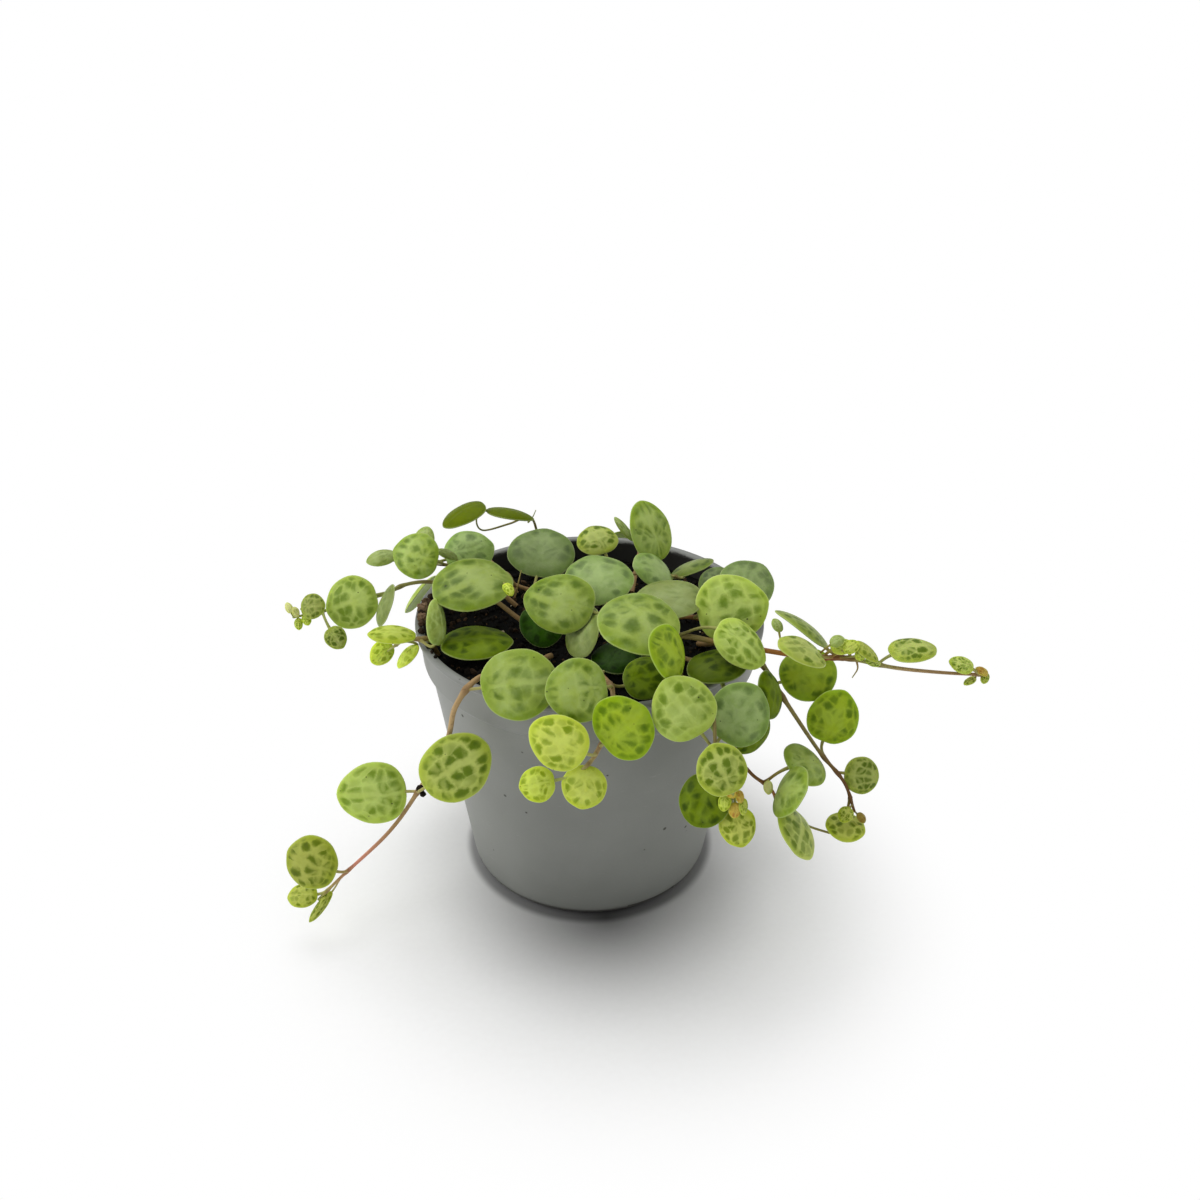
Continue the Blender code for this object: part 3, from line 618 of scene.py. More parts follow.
T = Tone
PLANT = (
    Growth("left_long", 1.3, (
        (-7, -13, 48.8), (-11.5, -19.5, 50.2), (-17, -24.3, 51.9), (-20.5, -27, 48.5),
        (-22.5, -26, 41), (-27.5, -27, 32), (-33, -27, 23.5), (-42, -26, 13), (-46.5, -25.5, 7.5),
    ), (
        Leaf(0.26, (-10.8, -27, 52.6), (-100, 50), (12.2, 11), T.SOFT),
        Leaf(0.56, (-20.8, -30.2, 39.2), (-95, 62), (12.1, 10.4), T.CRISP),
        Leaf(0.56, (-34.6, -27.5, 32.1), (-80, 58), (11.1, 9.9), T.MEADOW, 0.8),
        Leaf(0.87, (-46.3, -27, 17.1), (-100, 66), (9.4, 9.2), T.OLIVE, -0.9),
        Leaf(0.96, (-49, -26, 8.9), (-90, 26), (5.2, 4.4), T.OLIVE),
    ), hues=(WOOD, WOOD, TAN, TAN, WOOD, PINK, MOSS), buds=(
        Leaf(0.9, (-45.9, -26.9, 7.2), (-75, 45), (6.2, 1.7), T.OLIVE, -0.2),
    )),
    Growth("left_upper", 1.1, (
        (-12, 1, 48.2), (-19, 4, 51.5), (-27, 4.5, 53.2), (-32, 4.5, 52.8), (-36, 3.8, 51.2),
        (-41, 4, 49.6), (-46, 3.6, 48.2), (-51, -1, 49.3),
    ), (
        Leaf(0.53, (-34.8, -2.8, 52.6), (-168, 64), (7.6, 7.8), T.PALE, -1.4),
        Leaf(0.58, (-41.3, 1.5, 50.9), (-95, 55), (9.3, 9.4), T.MEADOW),
        Leaf(0.88, (-47.5, -1, 51.5), (-100, 50), (4.5, 4.5), T.CRISP, -1),
        Leaf(0.87, (-43.7, -3, 46.4), (-90, 60), (4.3, 3.8), T.CRISP, -0.8),
    ), hues=(WOOD, KHAKI, KHAKI, MOSS, MOSS, MOSS), buds=(
        Leaf(1.0, (-51.6, -1, 51.2), (-90, 40), (2.2, 1.3), T.TIP, 0.3),
        Leaf(0.99, (-50.4, -1.4, 50.6), (-60, 60), (1.9, 1.3), T.TIP),
        Leaf(0.98, (-50.2, -1.5, 48.3), (-90, 50), (2.2, 1.5), T.LIME),
        Leaf(0.94, (-48.8, -1.2, 48.9), (-90, 55), (2, 1.7), T.YELLOW),
    )),
    Growth("left_bright", 1, (
        (-25.3, -10.4, 48.4), (-26.2, -11.2, 50.9), (-27.9, -12, 51.5), (-29.8, -11.3, 51),
        (-32, -8.5, 48.5), (-34, -7.5, 46.5),
    ), (
        Leaf(0.29, (-18.7, -10.8, 50.4), (-60, 3), (12, 10), T.DARK, 0.7),
        Leaf(0.58, (-30.1, -11.2, 47.9), (-160, 32), (5.2, 3.8), T.YELLOW, 0.5),
        Leaf(0.83, (-35, -7.5, 46.1), (-60, 66), (4.8, 3.9), T.YELLOW, 0.9),
        Leaf(0.48, (-32.3, -11.5, 52.2), (-100, 20), (8.4, 3.8), T.YELLOW, -0.7),
        Leaf(0.35, (-24.7, -11.6, 54.3), (-15, 78), (7.8, 6.8), T.PALE, 2),
    ), hues=(WOOD, MOSS)),
    Growth("raised_back", 0.7, (
        (-9, 22.5, 46.2), (-9.8, 23.3, 53.2), (-11, 20.3, 58.4), (-14.5, 15.5, 59.3), (-19, 13, 59.2),
        (-20, 12, 61.7), (-18.3, 11, 64.6),
    ), (
        Leaf(0.99, (-14, 10.8, 63.5), (52, 18), (8.5, 7.2), T.PLAIN, -0.3),
        Leaf(0.96, (-21.9, 9.8, 63.9), (-170, 20), (8.5, 8), T.PLAIN, -0.3),
    ), hues=(KHAKI, KHAKI, MOSS), twigs=(
        ((-11, 20.3, 58.4), (-11.4, 21.4, 56.8), (-10.6, 22, 57.6), (-9.9, 21, 59.5)),
    )),
    Growth("back_left", 1.1, (
        (-14, 8, 47.9), (-20, 10, 52.1), (-26, 9, 54.4), (-31, 8, 55.6), (-36, 7.5, 56),
    ), (
        Leaf(0.62, (-30, 4.8, 58.3), (-100, 55), (8.5, 8), T.SOFT, 0.9),
        Leaf(0.69, (-21.6, 11.7, 55.8), (-80, 30), (9.3, 8.8), T.BLUISH, 1),
        Leaf(0.90, (-36.3, 6.2, 57.3), (-90, 20), (5.4, 3.8), T.PALE),
    ), hues=(WOOD, KHAKI, MOSS), buds=(
        Leaf(0.75, (-28.7, 7, 60.5), (-90, 50), (4.4, 3.6), T.PALE, 0.8),
        Leaf(0.5, (-25, 7.6, 57.2), (-60, 40), (4, 1.8), T.PALE, 0.3),
    )),
    Growth("crown_left", 1.2, (
        (-6, 5, 47.9), (-9, 5, 50.4), (-13, 3.5, 53.2), (-17, 3, 54.3),
    ), (
        Leaf(0.35, (-8, -4.4, 49.9), (-90, 30), (8.5, 8), T.PAINTED_SHADE, 0.8),
        Leaf(0.45, (-8.8, 16, 53.4), (-90, 24), (11.8, 12.4), T.BLUISH, -1.2),
        Leaf(0.70, (-19.5, -4.6, 58), (-60, 14), (14.5, 12.5), T.SOFT, -0.6),
    ), hues=(WOOD, WOOD), buds=(
        Leaf(1.0, (-13.4, -5.6, 57.3), (-80, 40), (2.6, 1.8), T.YELLOW, 0.5),
    ), twigs=(((-12.6, -3.4, 54.5), (-11.9, -4, 57.4), (-11.3, -4, 60)),)),
    Growth("crown_mid", 1.2, (
        (1, -4, 48.4), (0, -5, 51), (3, -9, 54.5), (3.8, -14, 56),
    ), (
        Leaf(0.34, (-1.2, -12.6, 53.2), (-160, 50), (10, 8), T.PALE, -0.8),
        Leaf(0.80, (1.5, -3.9, 58.4), (-90, 18), (11.4, 11.9), T.BLUISH),
        Leaf(0.87, (-4.9, -10, 57.2), (-110, 45), (12.2, 10.2), T.SOFT, -0.4),
        Leaf(1.00, (7.7, -22, 60.5), (-65, 22), (12.4, 12.9), T.SOFT),
    ), hues=(WOOD, KHAKI)),
    Growth("crown_back", 1.1, (
        (3, 13, 47.5), (6.5, 11, 51), (11, 8, 53.3), (15, 4, 54.6),
    ), (
        Leaf(0.15, (1.4, 15.8, 56), (-90, 22), (7.3, 7.6), T.CRISP, -0.4),
        Leaf(0.99, (11.1, 2.1, 56.8), (-24, 37), (8.6, 8), T.BLUISH),
        Leaf(0.8, (10.8, 8.8, 61), (-60, 58), (11, 8.2), T.SOFT, 0.5),
        Leaf(1.00, (18.2, 9, 53.9), (145, 26), (8.4, 8.2), T.SOFT, -1.5),
    ), hues=(WOOD, KHAKI), buds=(
        Leaf(0.8, (6.2, 11.5, 60.1), (-90, 60), (5.6, 1.5), T.PALE, 0.2),
    )),
    Growth("crown_right", 1.2, (
        (10, -3, 48.4), (14, -6, 52), (19, -9.5, 53.8), (23, -13.5, 53.3),
    ), (
        Leaf(0.63, (22.6, -13.5, 58.2), (-90, 55), (11.6, 11.2), T.MEADOW, 0.7),
        Leaf(0.69, (12.7, -10.5, 58.2), (-125, 8), (11.5, 11), T.PALE, -1),
        Leaf(0.79, (26.8, -1.7, 56.6), (-60, 25), (11, 9.5), T.BLUISH, -1),
        Leaf(0.6, (22, 2.2, 54.4), (-90, 32), (6.8, 6.2), T.BLUISH, -1.8),
    ), hues=(WOOD, RUST)),
    Growth("centre_front", 1.2, (
        (0, -16, 49), (2.5, -23, 50.8), (3.5, -28.4, 51.9), (3.2, -31.6, 49), (1.2, -33.8, 45.1),
        (-0.6, -35, 43), (-3.5, -35.8, 41.3),
    ), (
        Leaf(0.17, (4.5, -16.3, 50.9), (-90, 8), (8.5, 8), T.PAINTED_SHADE, -1.5),
        Leaf(0.36, (9, -23, 51.2), (-90, 30), (8, 7.5), T.DARK, 0.6),
        Leaf(0.75, (5.1, -33.6, 49.2), (-90, 66), (8.7, 10.4), T.BRIGHT),
        Leaf(0.8, (-4.5, -35.9, 48.2), (-95, 62), (9.3, 8.2), T.LIME, 0.4),
        Leaf(0.4, (-1.8, -30.6, 53.8), (-90, 55), (9.5, 9.6), T.SOFT),
        Leaf(0.86, (-0.8, -36.5, 40.4), (-90, 60), (6.8, 6.8), T.LIME),
        Leaf(0.98, (-7.8, -36.4, 40.8), (-95, 58), (5.6, 5.4), T.YELLOW),
    ), hues=(WOOD, WOOD, TAN, TAN, MOSS)),
    Growth("right_front", 1.1, (
        (12, -17, 49), (15.5, -24, 50.8), (18.2, -31, 50.8), (18.8, -34.8, 46), (20.5, -36, 41),
        (22, -36.3, 37.5),
    ), (
        Leaf(0.17, (11.9, -27, 58.2), (-30, 70), (10.2, 8.4), T.BRIGHT),
        Leaf(0.70, (22.7, -29.9, 49), (-85, 60), (9.8, 9.8), T.BLUISH),
        Leaf(0.73, (13.8, -32.4, 51.7), (-95, 66), (10, 9.8), T.MEADOW),
        Leaf(0.76, (17.2, -37, 38.2), (-110, 62), (8.5, 8), T.DARK),
        Leaf(0.92, (22.4, -38.4, 34.3), (-80, 65), (6.4, 5.8), T.OLIVE, 0.4),
        Leaf(0.96, (19.4, -37.8, 44.6), (-90, 60), (8, 7.6), T.CRISP),
    ), hues=(WOOD, KHAKI, KHAKI, KHAKI, MOSS), buds=(
        Leaf(0.85, (20.9, -38.3, 41.2), (-90, 60), (2.6, 1.9), T.RUSTY, 0.4),
        Leaf(0.9, (20, -38.9, 39.4), (-110, 50), (2.6, 2), T.YELLOW, -0.3),
        Leaf(0.95, (21.6, -39.2, 38.2), (-80, 60), (2.4, 2), T.RUSTY, 0.5),
        Leaf(0.98, (22.9, -38.8, 38.6), (-50, 55), (2.6, 1.7), T.LIME, -0.4),
        Leaf(0.92, (22.3, -38.6, 40.2), (-60, 60), (2, 1.5), T.RUSTY),
    )),
    Growth("right_loop", 1.2, (
        (19, -8, 48.6), (23, -13, 51.2), (26.5, -19, 52), (30.8, -24, 47), (36, -27, 40),
        (40, -29, 35.5), (42, -30, 30.5),
    ), (
        Leaf(0.30, (19.8, -22.1, 52.9), (-90, 5), (10.3, 8.2), T.DARK, -1.2),
        Leaf(0.35, (28, -25.3, 49.5), (-30, 60), (8, 6.4), T.DARK),
        Leaf(0.41, (35.4, -16.4, 47.6), (-80, 40), (10, 9), T.BRIGHT, -1),
        Leaf(0.49, (25.2, -25, 42.8), (-60, 65), (8.5, 7.6), T.DARK, 1),
        Leaf(0.76, (39.1, -21.3, 42.5), (-85, 62), (8.9, 8.6), T.BRIGHT, 0.1),
        Leaf(0.83, (43, -28, 36), (-80, 60), (6, 5.9), T.CRISP, -0.7),
        Leaf(0.94, (40.6, -31.2, 28.4), (-90, 6), (6.4, 6.4), T.OLIVE, 0.3),
    ), hues=(WOOD, KHAKI, UMBER, KHAKI, KHAKI, KHAKI, UMBER, UMBER), buds=(
        Leaf(1.0, (43, -31, 30), (-60, 40), (1.9, 1.6), T.RUSTY, -1.7),
        Leaf(0.97, (40.2, -31.8, 31.3), (-90, 45), (2.8, 2.4), T.OLIVE, -0.2),
    )),
    Growth("right_curl", 1, (
        (14, -12, 48.8), (18.2, -19, 50.9), (20.3, -24, 51.2), (21.8, -28.5, 47), (22.3, -31.2, 43.1),
        (24.7, -32.6, 39.9), (28, -31, 36), (29.7, -30, 32.5), (31.7, -29.5, 29.2), (35.1, -30, 27.4),
        (38.3, -30.8, 26.7),
    ), (
        Leaf(0.76, (29.9, -36.4, 39.6), (177, 62), (10, 8.6), T.SOFT),
        Leaf(0.66, (33.6, -29.6, 39.5), (-24, 32), (8.2, 7.8), T.SOFT),
        Leaf(0.83, (31.9, -36.4, 31.8), (-14, 47), (9.4, 9.2), T.CRISP, 0.5),
    ), hues=(WOOD, KHAKI, MOSS, KHAKI, UMBER, RUST, MOSS, KHAKI), buds=(
        Leaf(0.7, (27.2, -34, 38.4), (-110, 40), (2.2, 1.5), T.TIP),
    )),
    Growth("right_long", 1.3, (
        (8, -9, 48.8), (14, -13.5, 53), (21.5, -18, 54.2), (28, -20.5, 54.4), (34, -22, 54.2),
        (40, -22, 54), (47.5, -21.5, 52), (55, -21, 50.8), (62.5, -20.5, 50),
    ), (
        Leaf(0.6, (33.5, -17.8, 57.1), (18, 34), (10.2, 7), T.MEADOW, -1.3),
        Leaf(0.58, (32.2, -25.2, 57.4), (-6, 28), (9.3, 7), T.CRISP),
        Leaf(0.15, (23.3, -21.4, 56.3), (-60, 45), (9.6, 7.4), T.MEADOW, 0.9),
        Leaf(0.55, (38.7, -22.4, 56.5), (-110, 20), (3.6, 3.3), T.LIME, 0.2),
        Leaf(0.70, (50, -21, 55), (-100, 8), (7.6, 6), T.CRISP),
        Leaf(0.98, (58.2, -20.9, 52.2), (-90, 40), (4, 2.8), T.CRISP, 1),
        Leaf(0.62, (42.5, -22.8, 55.8), (-20, 35), (4.6, 3.6), T.LIME, -0.9),
    ), hues=(WOOD, KHAKI, KHAKI, RUST, RUST, RED, MOSS, TAN, WOOD, WOOD), buds=(
        Leaf(0.45, (29.1, -19.3, 58.4), (-60, 40), (2.4, 1.9), T.PALE, 0.3),
        Leaf(0.57, (39.8, -23.6, 57.1), (-90, 50), (2.8, 2.2), T.LIME),
        Leaf(0.59, (41.5, -23.6, 55.6), (-60, 60), (2.4, 1.7), T.YELLOW, -0.4),
        Leaf(0.53, (37.6, -23.2, 57.9), (-110, 40), (2.4, 1.9), T.PALE, 0.8),
        Leaf(0.66, (43.7, -22.9, 53.9), (-80, 50), (2.6, 1.4), T.CRISP, 0.4),
        Leaf(0.97, (60, -20.8, 49.2), (-90, 20), (2.6, 1.3), T.OLIVE, -0.3),
        Leaf(1.0, (61.6, -20.8, 50.9), (-70, 50), (2.4, 1.4), T.RUSTY),
        Leaf(1.0, (62.3, -20.7, 49.6), (-90, 40), (2, 1.4), T.OLIVE),
    ), twigs=(((41.4, -22, 53.4), (41.6, -22.2, 52.2), (40.9, -22.4, 50.7)),)),
    Growth("back_fall", 1.1, (
        (8, 14, 47.7), (9.5, 22, 50.5), (11, 29.5, 52), (12, 34.5, 47), (12.5, 36, 38),
        (11.5, 35.5, 29), (11, 35, 22),
    ), (
        Leaf(0.38, (6, 34, 46), (100, 58), (11, 10.5), T.SOFT),
        Leaf(0.67, (18, 34, 42), (75, 60), (10, 9.5), T.MEADOW),
        Leaf(0.70, (6.5, 37, 34), (95, 68), (9, 8.5), T.CRISP),
        Leaf(0.91, (17, 36, 29), (80, 66), (8, 7.6), T.CRISP),
        Leaf(0.95, (10, 36.5, 19), (90, 70), (7, 6.5), T.LIME),
    ), hues=(WOOD, WOOD, KHAKI, MOSS)),
    Growth("back_left_fall", 1.1, (
        (-14, 13, 47.7), (-18, 16.5, 50.8), (-22.5, 20.5, 52), (-27, 24.5, 47), (-28.5, 26, 38),
        (-29, 26, 30),
    ), (
        Leaf(0.54, (-21, 27, 44), (115, 60), (10, 9.6), T.SOFT),
        Leaf(0.62, (-32.5, 21, 42), (155, 60), (9.2, 8.8), T.MEADOW),
        Leaf(0.79, (-27, 29, 33), (130, 66), (8.4, 8), T.CRISP),
        Leaf(0.96, (-31, 24.5, 26.5), (150, 60), (6.6, 6), T.LIME),
    ), hues=(WOOD, WOOD, KHAKI, MOSS)),
)


def evaluated(piece: bpy.types.Object) -> bpy.types.Mesh:
    """A new mesh of the piece as its modifiers make it. The modifiers are then cleared.

    Args:
        piece: The piece.

    Returns:
        The new mesh.
    """
    graph = bpy.context.evaluated_depsgraph_get()
    result = bpy.data.meshes.new_from_object(piece.evaluated_get(graph))
    piece.modifiers.clear()
    return result


def meshed(name: str, shape: bmesh.types.BMesh) -> bpy.types.Mesh:
    """A new mesh of the shape. The shape is then freed.

    Args:
        name: The mesh's name.
        shape: The shape.

    Returns:
        The new mesh.
    """
    mesh = bpy.data.meshes.new(name)
    shape.to_mesh(mesh)
    shape.free()
    return mesh


def mark(mesh: bpy.types.Mesh, label: str, values: Sequence[float]) -> None:
    """Keep a number on each point of the mesh."""
    mesh.attributes.new(label, "FLOAT", "POINT").data.foreach_set("value", values)


class Tree(Bench):
    """A geometry node tree with named inputs."""

    def __init__(self, name: str, inputs: dict[str, str]) -> None:
        """Make the tree and its sockets.

        Args:
            name: The tree's name.
            inputs: Socket kinds by input name, besides the geometry.
        """
        super().__init__(bpy.data.node_groups.new(name, "GeometryNodeTree"))
        kinds = {"Geometry": "Geometry", **inputs, "Finish": "Material"}
        self.keys = {label: self._socket(label, kind, "INPUT") for label, kind in kinds.items()}
        self._socket("Geometry", "Geometry", "OUTPUT")
        self.source = self.node("NodeGroupInput")

    def _socket(self, label: str, kind: str, way: str) -> str:
        """Add a socket to the tree's interface and return its key."""
        face = self.tree.interface
        return face.new_socket(name=label, in_out=way, socket_type=f"NodeSocket{kind}").identifier

    def given(self, label: str) -> Wire:
        """The wire of a named input."""
        return self.source.twin(label)

    def close(self, shape: Wire, smooth: bool) -> None:
        """End the tree in real geometry with the Finish material, shaded smooth or not.

        Args:
            shape: The geometry.
            smooth: Whether it is shaded smooth.
        """
        real = self.node("GeometryNodeRealizeInstances", None, {"Geometry": shape})
        shaded = self.node("GeometryNodeSetShadeSmooth", None, {"Geometry": real, "Shade Smooth": smooth})
        sockets = {"Geometry": shaded, "Material": self.given("Finish")}
        self.node("NodeGroupOutput", None, {"Geometry": self.node("GeometryNodeSetMaterial", None, sockets)})

    def bake(self, name: str, mesh: bpy.types.Mesh, values: dict[str, object]) -> bpy.types.Object:
        """Run the tree on a mesh and keep the result as a plain piece.

        Args:
            name: The piece's name.
            mesh: What the tree starts from.
            values: Input values by name.

        Returns:
            The piece.
        """
        carrier = linked(f"{name}_carrier", mesh)
        modifier = carrier.modifiers.new("nodes", "NODES")
        modifier.node_group = self.tree
        for label, value in values.items():
            modifier[self.keys[label]] = value
        result = evaluated(carrier)
        bpy.data.objects.remove(carrier)
        result.name = name
        return linked(name, result)


def tube_tree() -> Tree:
    """The tree that runs a round tube along paths whose points hold their own girth.

    Returns:
        The tree, with inputs Sides and Finish.
    """
    tree = Tree("stem_tube", {"Sides": "Int"})
    girth = tree.node("GeometryNodeInputNamedAttribute", {"data_type": "FLOAT"}, {"Name": "girth"})
    path = tree.node("GeometryNodeMeshToCurve", None, {"Mesh": tree.given("Geometry")})
    ring = tree.node("GeometryNodeCurvePrimitiveCircle", {"mode": "RADIUS"},
                     {"Resolution": tree.given("Sides"), "Radius": 1.0})
    tube = tree.node("GeometryNodeCurveToMesh", None,
                     {"Curve": path, "Profile Curve": ring, "Scale": girth, "Fill Caps": True})
    tree.close(tube, True)
    return tree


def crumb_tree() -> Tree:
    """The tree that scatters rough crumbs over a surface.

    Returns:
        The tree, with inputs Density, Smallest, Largest, Stretch, Sink, Seed and Finish.
    """
    tree = Tree("crumbs", {"Density": "Float", "Smallest": "Float", "Largest": "Float",
                           "Stretch": "Vector", "Sink": "Float", "Seed": "Int"})
    given = tree.given

    def chance(low: float, high: float, salt: int) -> Wire:
        """A random number for each point."""
        sockets = {2: low, 3: high, "Seed": given("Seed") + salt}
        return tree.node("FunctionNodeRandomValue", {"data_type": "FLOAT"}, sockets, 1)

    spots = tree.node("GeometryNodeDistributePointsOnFaces", {"distribute_method": "RANDOM"},
                      {"Mesh": given("Geometry"), "Density": given("Density"), "Seed": given("Seed")})
    turn = tree.node("FunctionNodeRandomValue", {"data_type": "FLOAT_VECTOR"},
                     {0: (0, 0, 0), 1: (6.28, 6.28, 6.28), "Seed": given("Seed") + 5})
    size = given("Smallest") + (given("Largest") - given("Smallest")) * chance(0.0, 1.0, 11) ** 2.5
    lump = tree.node("GeometryNodeMeshIcoSphere", None, {"Radius": 0.5, "Subdivisions": 1})
    stretch = tree.node("ShaderNodeVectorMath", {"operation": "SCALE"}, {0: given("Stretch"), "Scale": size})
    uneven = tree.joined(chance(0.7, 1.3, 2), chance(0.7, 1.2, 3), chance(0.6, 1.0, 4))
    bits = tree.node("GeometryNodeInstanceOnPoints", None,
                     {"Points": spots, "Instance": lump, "Rotation": turn,
                      "Scale": tree.vector("MULTIPLY", stretch, uneven)})
    marked = tree.node("GeometryNodeStoreNamedAttribute", {"data_type": "FLOAT", "domain": "INSTANCE"},
                       {"Geometry": bits, "Name": "shade", "Value": chance(0.0, 1.0, 9)})
    real = tree.node("GeometryNodeRealizeInstances", None, {"Geometry": marked})
    ripple = tree.node("ShaderNodeTexNoise", None, {"Vector": tree.node("GeometryNodeInputPosition"),
                                                    "Scale": 1900.0, "Detail": 1.0}, "Color")
    push = tree.vector("SUBTRACT", ripple, (0.5, 0.5, 0.5))
    push = tree.vector("MULTIPLY", push, (0.5 * MM, 0.5 * MM, 0.4 * MM))
    sunk = tree.vector("SUBTRACT", push, tree.joined(0.0, 0.0, given("Sink")))
    tree.close(tree.node("GeometryNodeSetPosition", None, {"Geometry": real, "Offset": sunk}), False)
    return tree


def circle(radius: float, height: float | Callable[[float, float], float], sides: int) -> list[Vector]:
    """A ring of points about the axis.

    Args:
        radius: The ring's radius.
        height: Its height, or what gives the height at a place.
        sides: How many points it has.

    Returns:
        The points.
    """
    turns = [math.tau * side / sides for side in range(sides)]
    spots = [(radius * math.cos(turn), radius * math.sin(turn)) for turn in turns]
    return [Vector((x, y, height(x, y) if callable(height) else height)) for x, y in spots]


def ringed(name: str, rings: Sequence[Sequence[Vector]], ends: tuple[Vector, Vector]) -> bpy.types.Object:
    """A closed, smooth piece whose skin runs from ring to ring, its faces turned outwards.

    Args:
        name: The piece's name.
        rings: Rings with the same number of points.
        ends: The point that closes the first ring and the one that closes the last.

    Returns:
        The piece. Its points are in the order given, the ends last.
    """
    sides, points = len(rings[0]), [point for ring in rings for point in ring]
    last = len(points) - sides
    steps = [(side, (side + 1) % sides) for side in range(sides)]
    faces = [(low + side, low + after, low + sides + after, low + sides + side)
             for low in range(0, last, sides) for side, after in steps]
    for middle, low in enumerate((0, last), len(points)):
        faces += [(middle, low + side, low + after) for side, after in steps]
    mesh = bpy.data.meshes.new(name)
    mesh.from_pydata([tuple(point) for point in (*points, *ends)], [], faces)
    shape = bmesh.new()
    shape.from_mesh(mesh)
    bmesh.ops.recalc_face_normals(shape, faces=shape.faces)
    shape.to_mesh(mesh)
    shape.free()
    mesh.shade_smooth()
    return linked(name, mesh)


def declare(piece: bpy.types.Object, slot: str, *nodes: str) -> bpy.types.Object:
    """Attach a piece to the body and hide the CAD nodes that it replaces.

    Args:
        piece: The piece.
        slot: The record's material slot; not used.
        nodes: CAD nodes that it replaces.

    Returns:
        The piece.
    """
    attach(piece, BODY)
    if nodes:
        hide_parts(*nodes)
    return piece


def bell(distance: float, width: float) -> float:
    """1 at no distance, falling smoothly to nothing about two widths away."""
    return math.exp(-((distance / width) ** 2))


def rounded(profile: Sequence[tuple[float, float]], radius: float) -> list[Vector]:
    """Round the inner corners of a profile.

    Args:
        profile: (radius, height) pairs.
        radius: How far from a corner the round starts, at most.

    Returns:
        The rounded profile.
    """
    steps, longest = 3, 0.45
    flat = [Vector(corner) for corner in profile]
    smooth = [flat[0]]
    for before, corner, after in zip(flat, flat[1:], flat[2:]):
        back, ahead = before - corner, after - corner
        reach = min(radius, back.length * longest, ahead.length * longest)
        start, end = corner + back.normalized() * reach, corner + ahead.normalized() * reach
        for step in range(steps + 1):
            t = step / steps
            smooth.append(start * (1 - t) ** 2 + corner * 2 * t * (1 - t) + end * t * t)
    return [*smooth, flat[-1]]


@dataclass
class Pot:
    """The nursery pot: a thin tapered wall under a collar with a rolled lip. Sizes in millimetres.

    outer and inner are the wall's two sides as (radius, height) pairs, and corner how much their
    corners are rounded. notches are the compass angles of the heel notches, heel the radius that they
    are cut at, notch their width, depth and height and arch how round they are at the top. drains are
    the compass angles of the drain holes, drain their radius and how far out they lie and drill how
    long their cutter is.
    """

    finish: PotFinish
    sides: int = 144
    outer: tuple = ((0, 0), (20.4, 0), (21.5, 0.6), (22.1, 1.8), (22.3, 3.2), (27.9, 42.4),
                    (28.9, 43.1), (29.35, 48.6), (29.95, 49.0), (29.95, 49.85), (29.4, 50.0))
    inner: tuple = ((28.75, 49.9), (28.45, 49.3), (28.1, 43.4), (27.1, 42.6), (21.5, 3.2),
                    (20.8, 1.8), (19.6, 1.2), (0, 1.2))
    corner: float = 0.55
    heel: float = 22.3
    notches: tuple = (-59, 61, 181)
    notch: tuple = (12.3, 1.2, 1.8)
    arch: float = 1.2
    drains: tuple = (20, 110, 200, 290)
    drain: tuple = (2.2, 12.0)
    drill: float = 5.0

    def build(self) -> bpy.types.Object:
        """Turn the wall and cut its notches and drain holes.

        Returns:
            The pot.
        """
        profile = [(r * MM, z * MM) for r, z in rounded(self.outer + self.inner, self.corner)][1:-1]
        ends = [Vector((0, 0, profile[row][1])) for row in (0, -1)]
        shell = ringed("pot_shell", [circle(r, z, self.sides) for r, z in profile], ends)
        cutters = self._cutters()
        modifier = shell.modifiers.new("cut", "BOOLEAN")
        modifier.operation = "DIFFERENCE"
        modifier.operand_type = "COLLECTION"
        modifier.collection = cutters
        modifier.solver = "EXACT"
        shell.data = evaluated(shell)
        for cutter in list(cutters.objects):
            bpy.data.objects.remove(cutter)
        bpy.data.collections.remove(cutters)
        shell.data.shade_smooth()
        shell.data.set_sharp_from_angle(angle=math.radians(38))
        shell.data.materials.clear()
        shell.data.materials.append(self.finish.paint("pot_plastic"))
        return declare(shell, "pot", "pot")

    def _cutters(self) -> bpy.types.Collection:
        """The solids that cut the notches and the drain holes.

        Returns:
            Their collection.
        """
        cutters = bpy.data.collections.new("pot_cutters")
        bpy.context.scene.collection.children.link(cutters)
        width, reach, height = (size * MM for size in self.notch)
        for degrees in self.notches:
            arch = bmesh.new()
            bmesh.ops.create_cube(arch, size=1)
            bmesh.ops.scale(arch, vec=(2 * reach, width, 2 * height), verts=arch.verts)
            ends = [(edge, *(vert.co for vert in edge.verts)) for edge in arch.edges]
            edges = [edge for edge, a, b in ends if abs(a.x - b.x) > MM and a.z > 0]
            bmesh.ops.bevel(arch, geom=edges, offset=self.arch * MM, segments=4, affect="EDGES")
            self._place(arch, self.heel, degrees, cutters)
        radius, out = self.drain
        for degrees in self.drains:
            hole = bmesh.new()
            bmesh.ops.create_cone(hole, cap_ends=True, segments=32, radius1=radius * MM,
                                  radius2=radius * MM, depth=self.drill * MM)
            self._place(hole, out, degrees, cutters)
        return cutters

    @staticmethod
    def _place(shape: bmesh.types.BMesh, out: float, degrees: float, cutters: bpy.types.Collection) -> None:
        """Set a cutter out from the axis and turn it.

        Args:
            shape: The cutter, at the origin.
            out: How far out it goes, in millimetres.
            degrees: Its compass angle.
            cutters: What collects it.
        """
        cutter = bpy.data.objects.new("cutter", meshed("cutter", shape))
        angle = math.radians(degrees)
        cutter.location = (out * MM * math.cos(angle), out * MM * math.sin(angle), 0)
        cutter.rotation_euler = (0, 0, angle)
        cutters.objects.link(cutter)


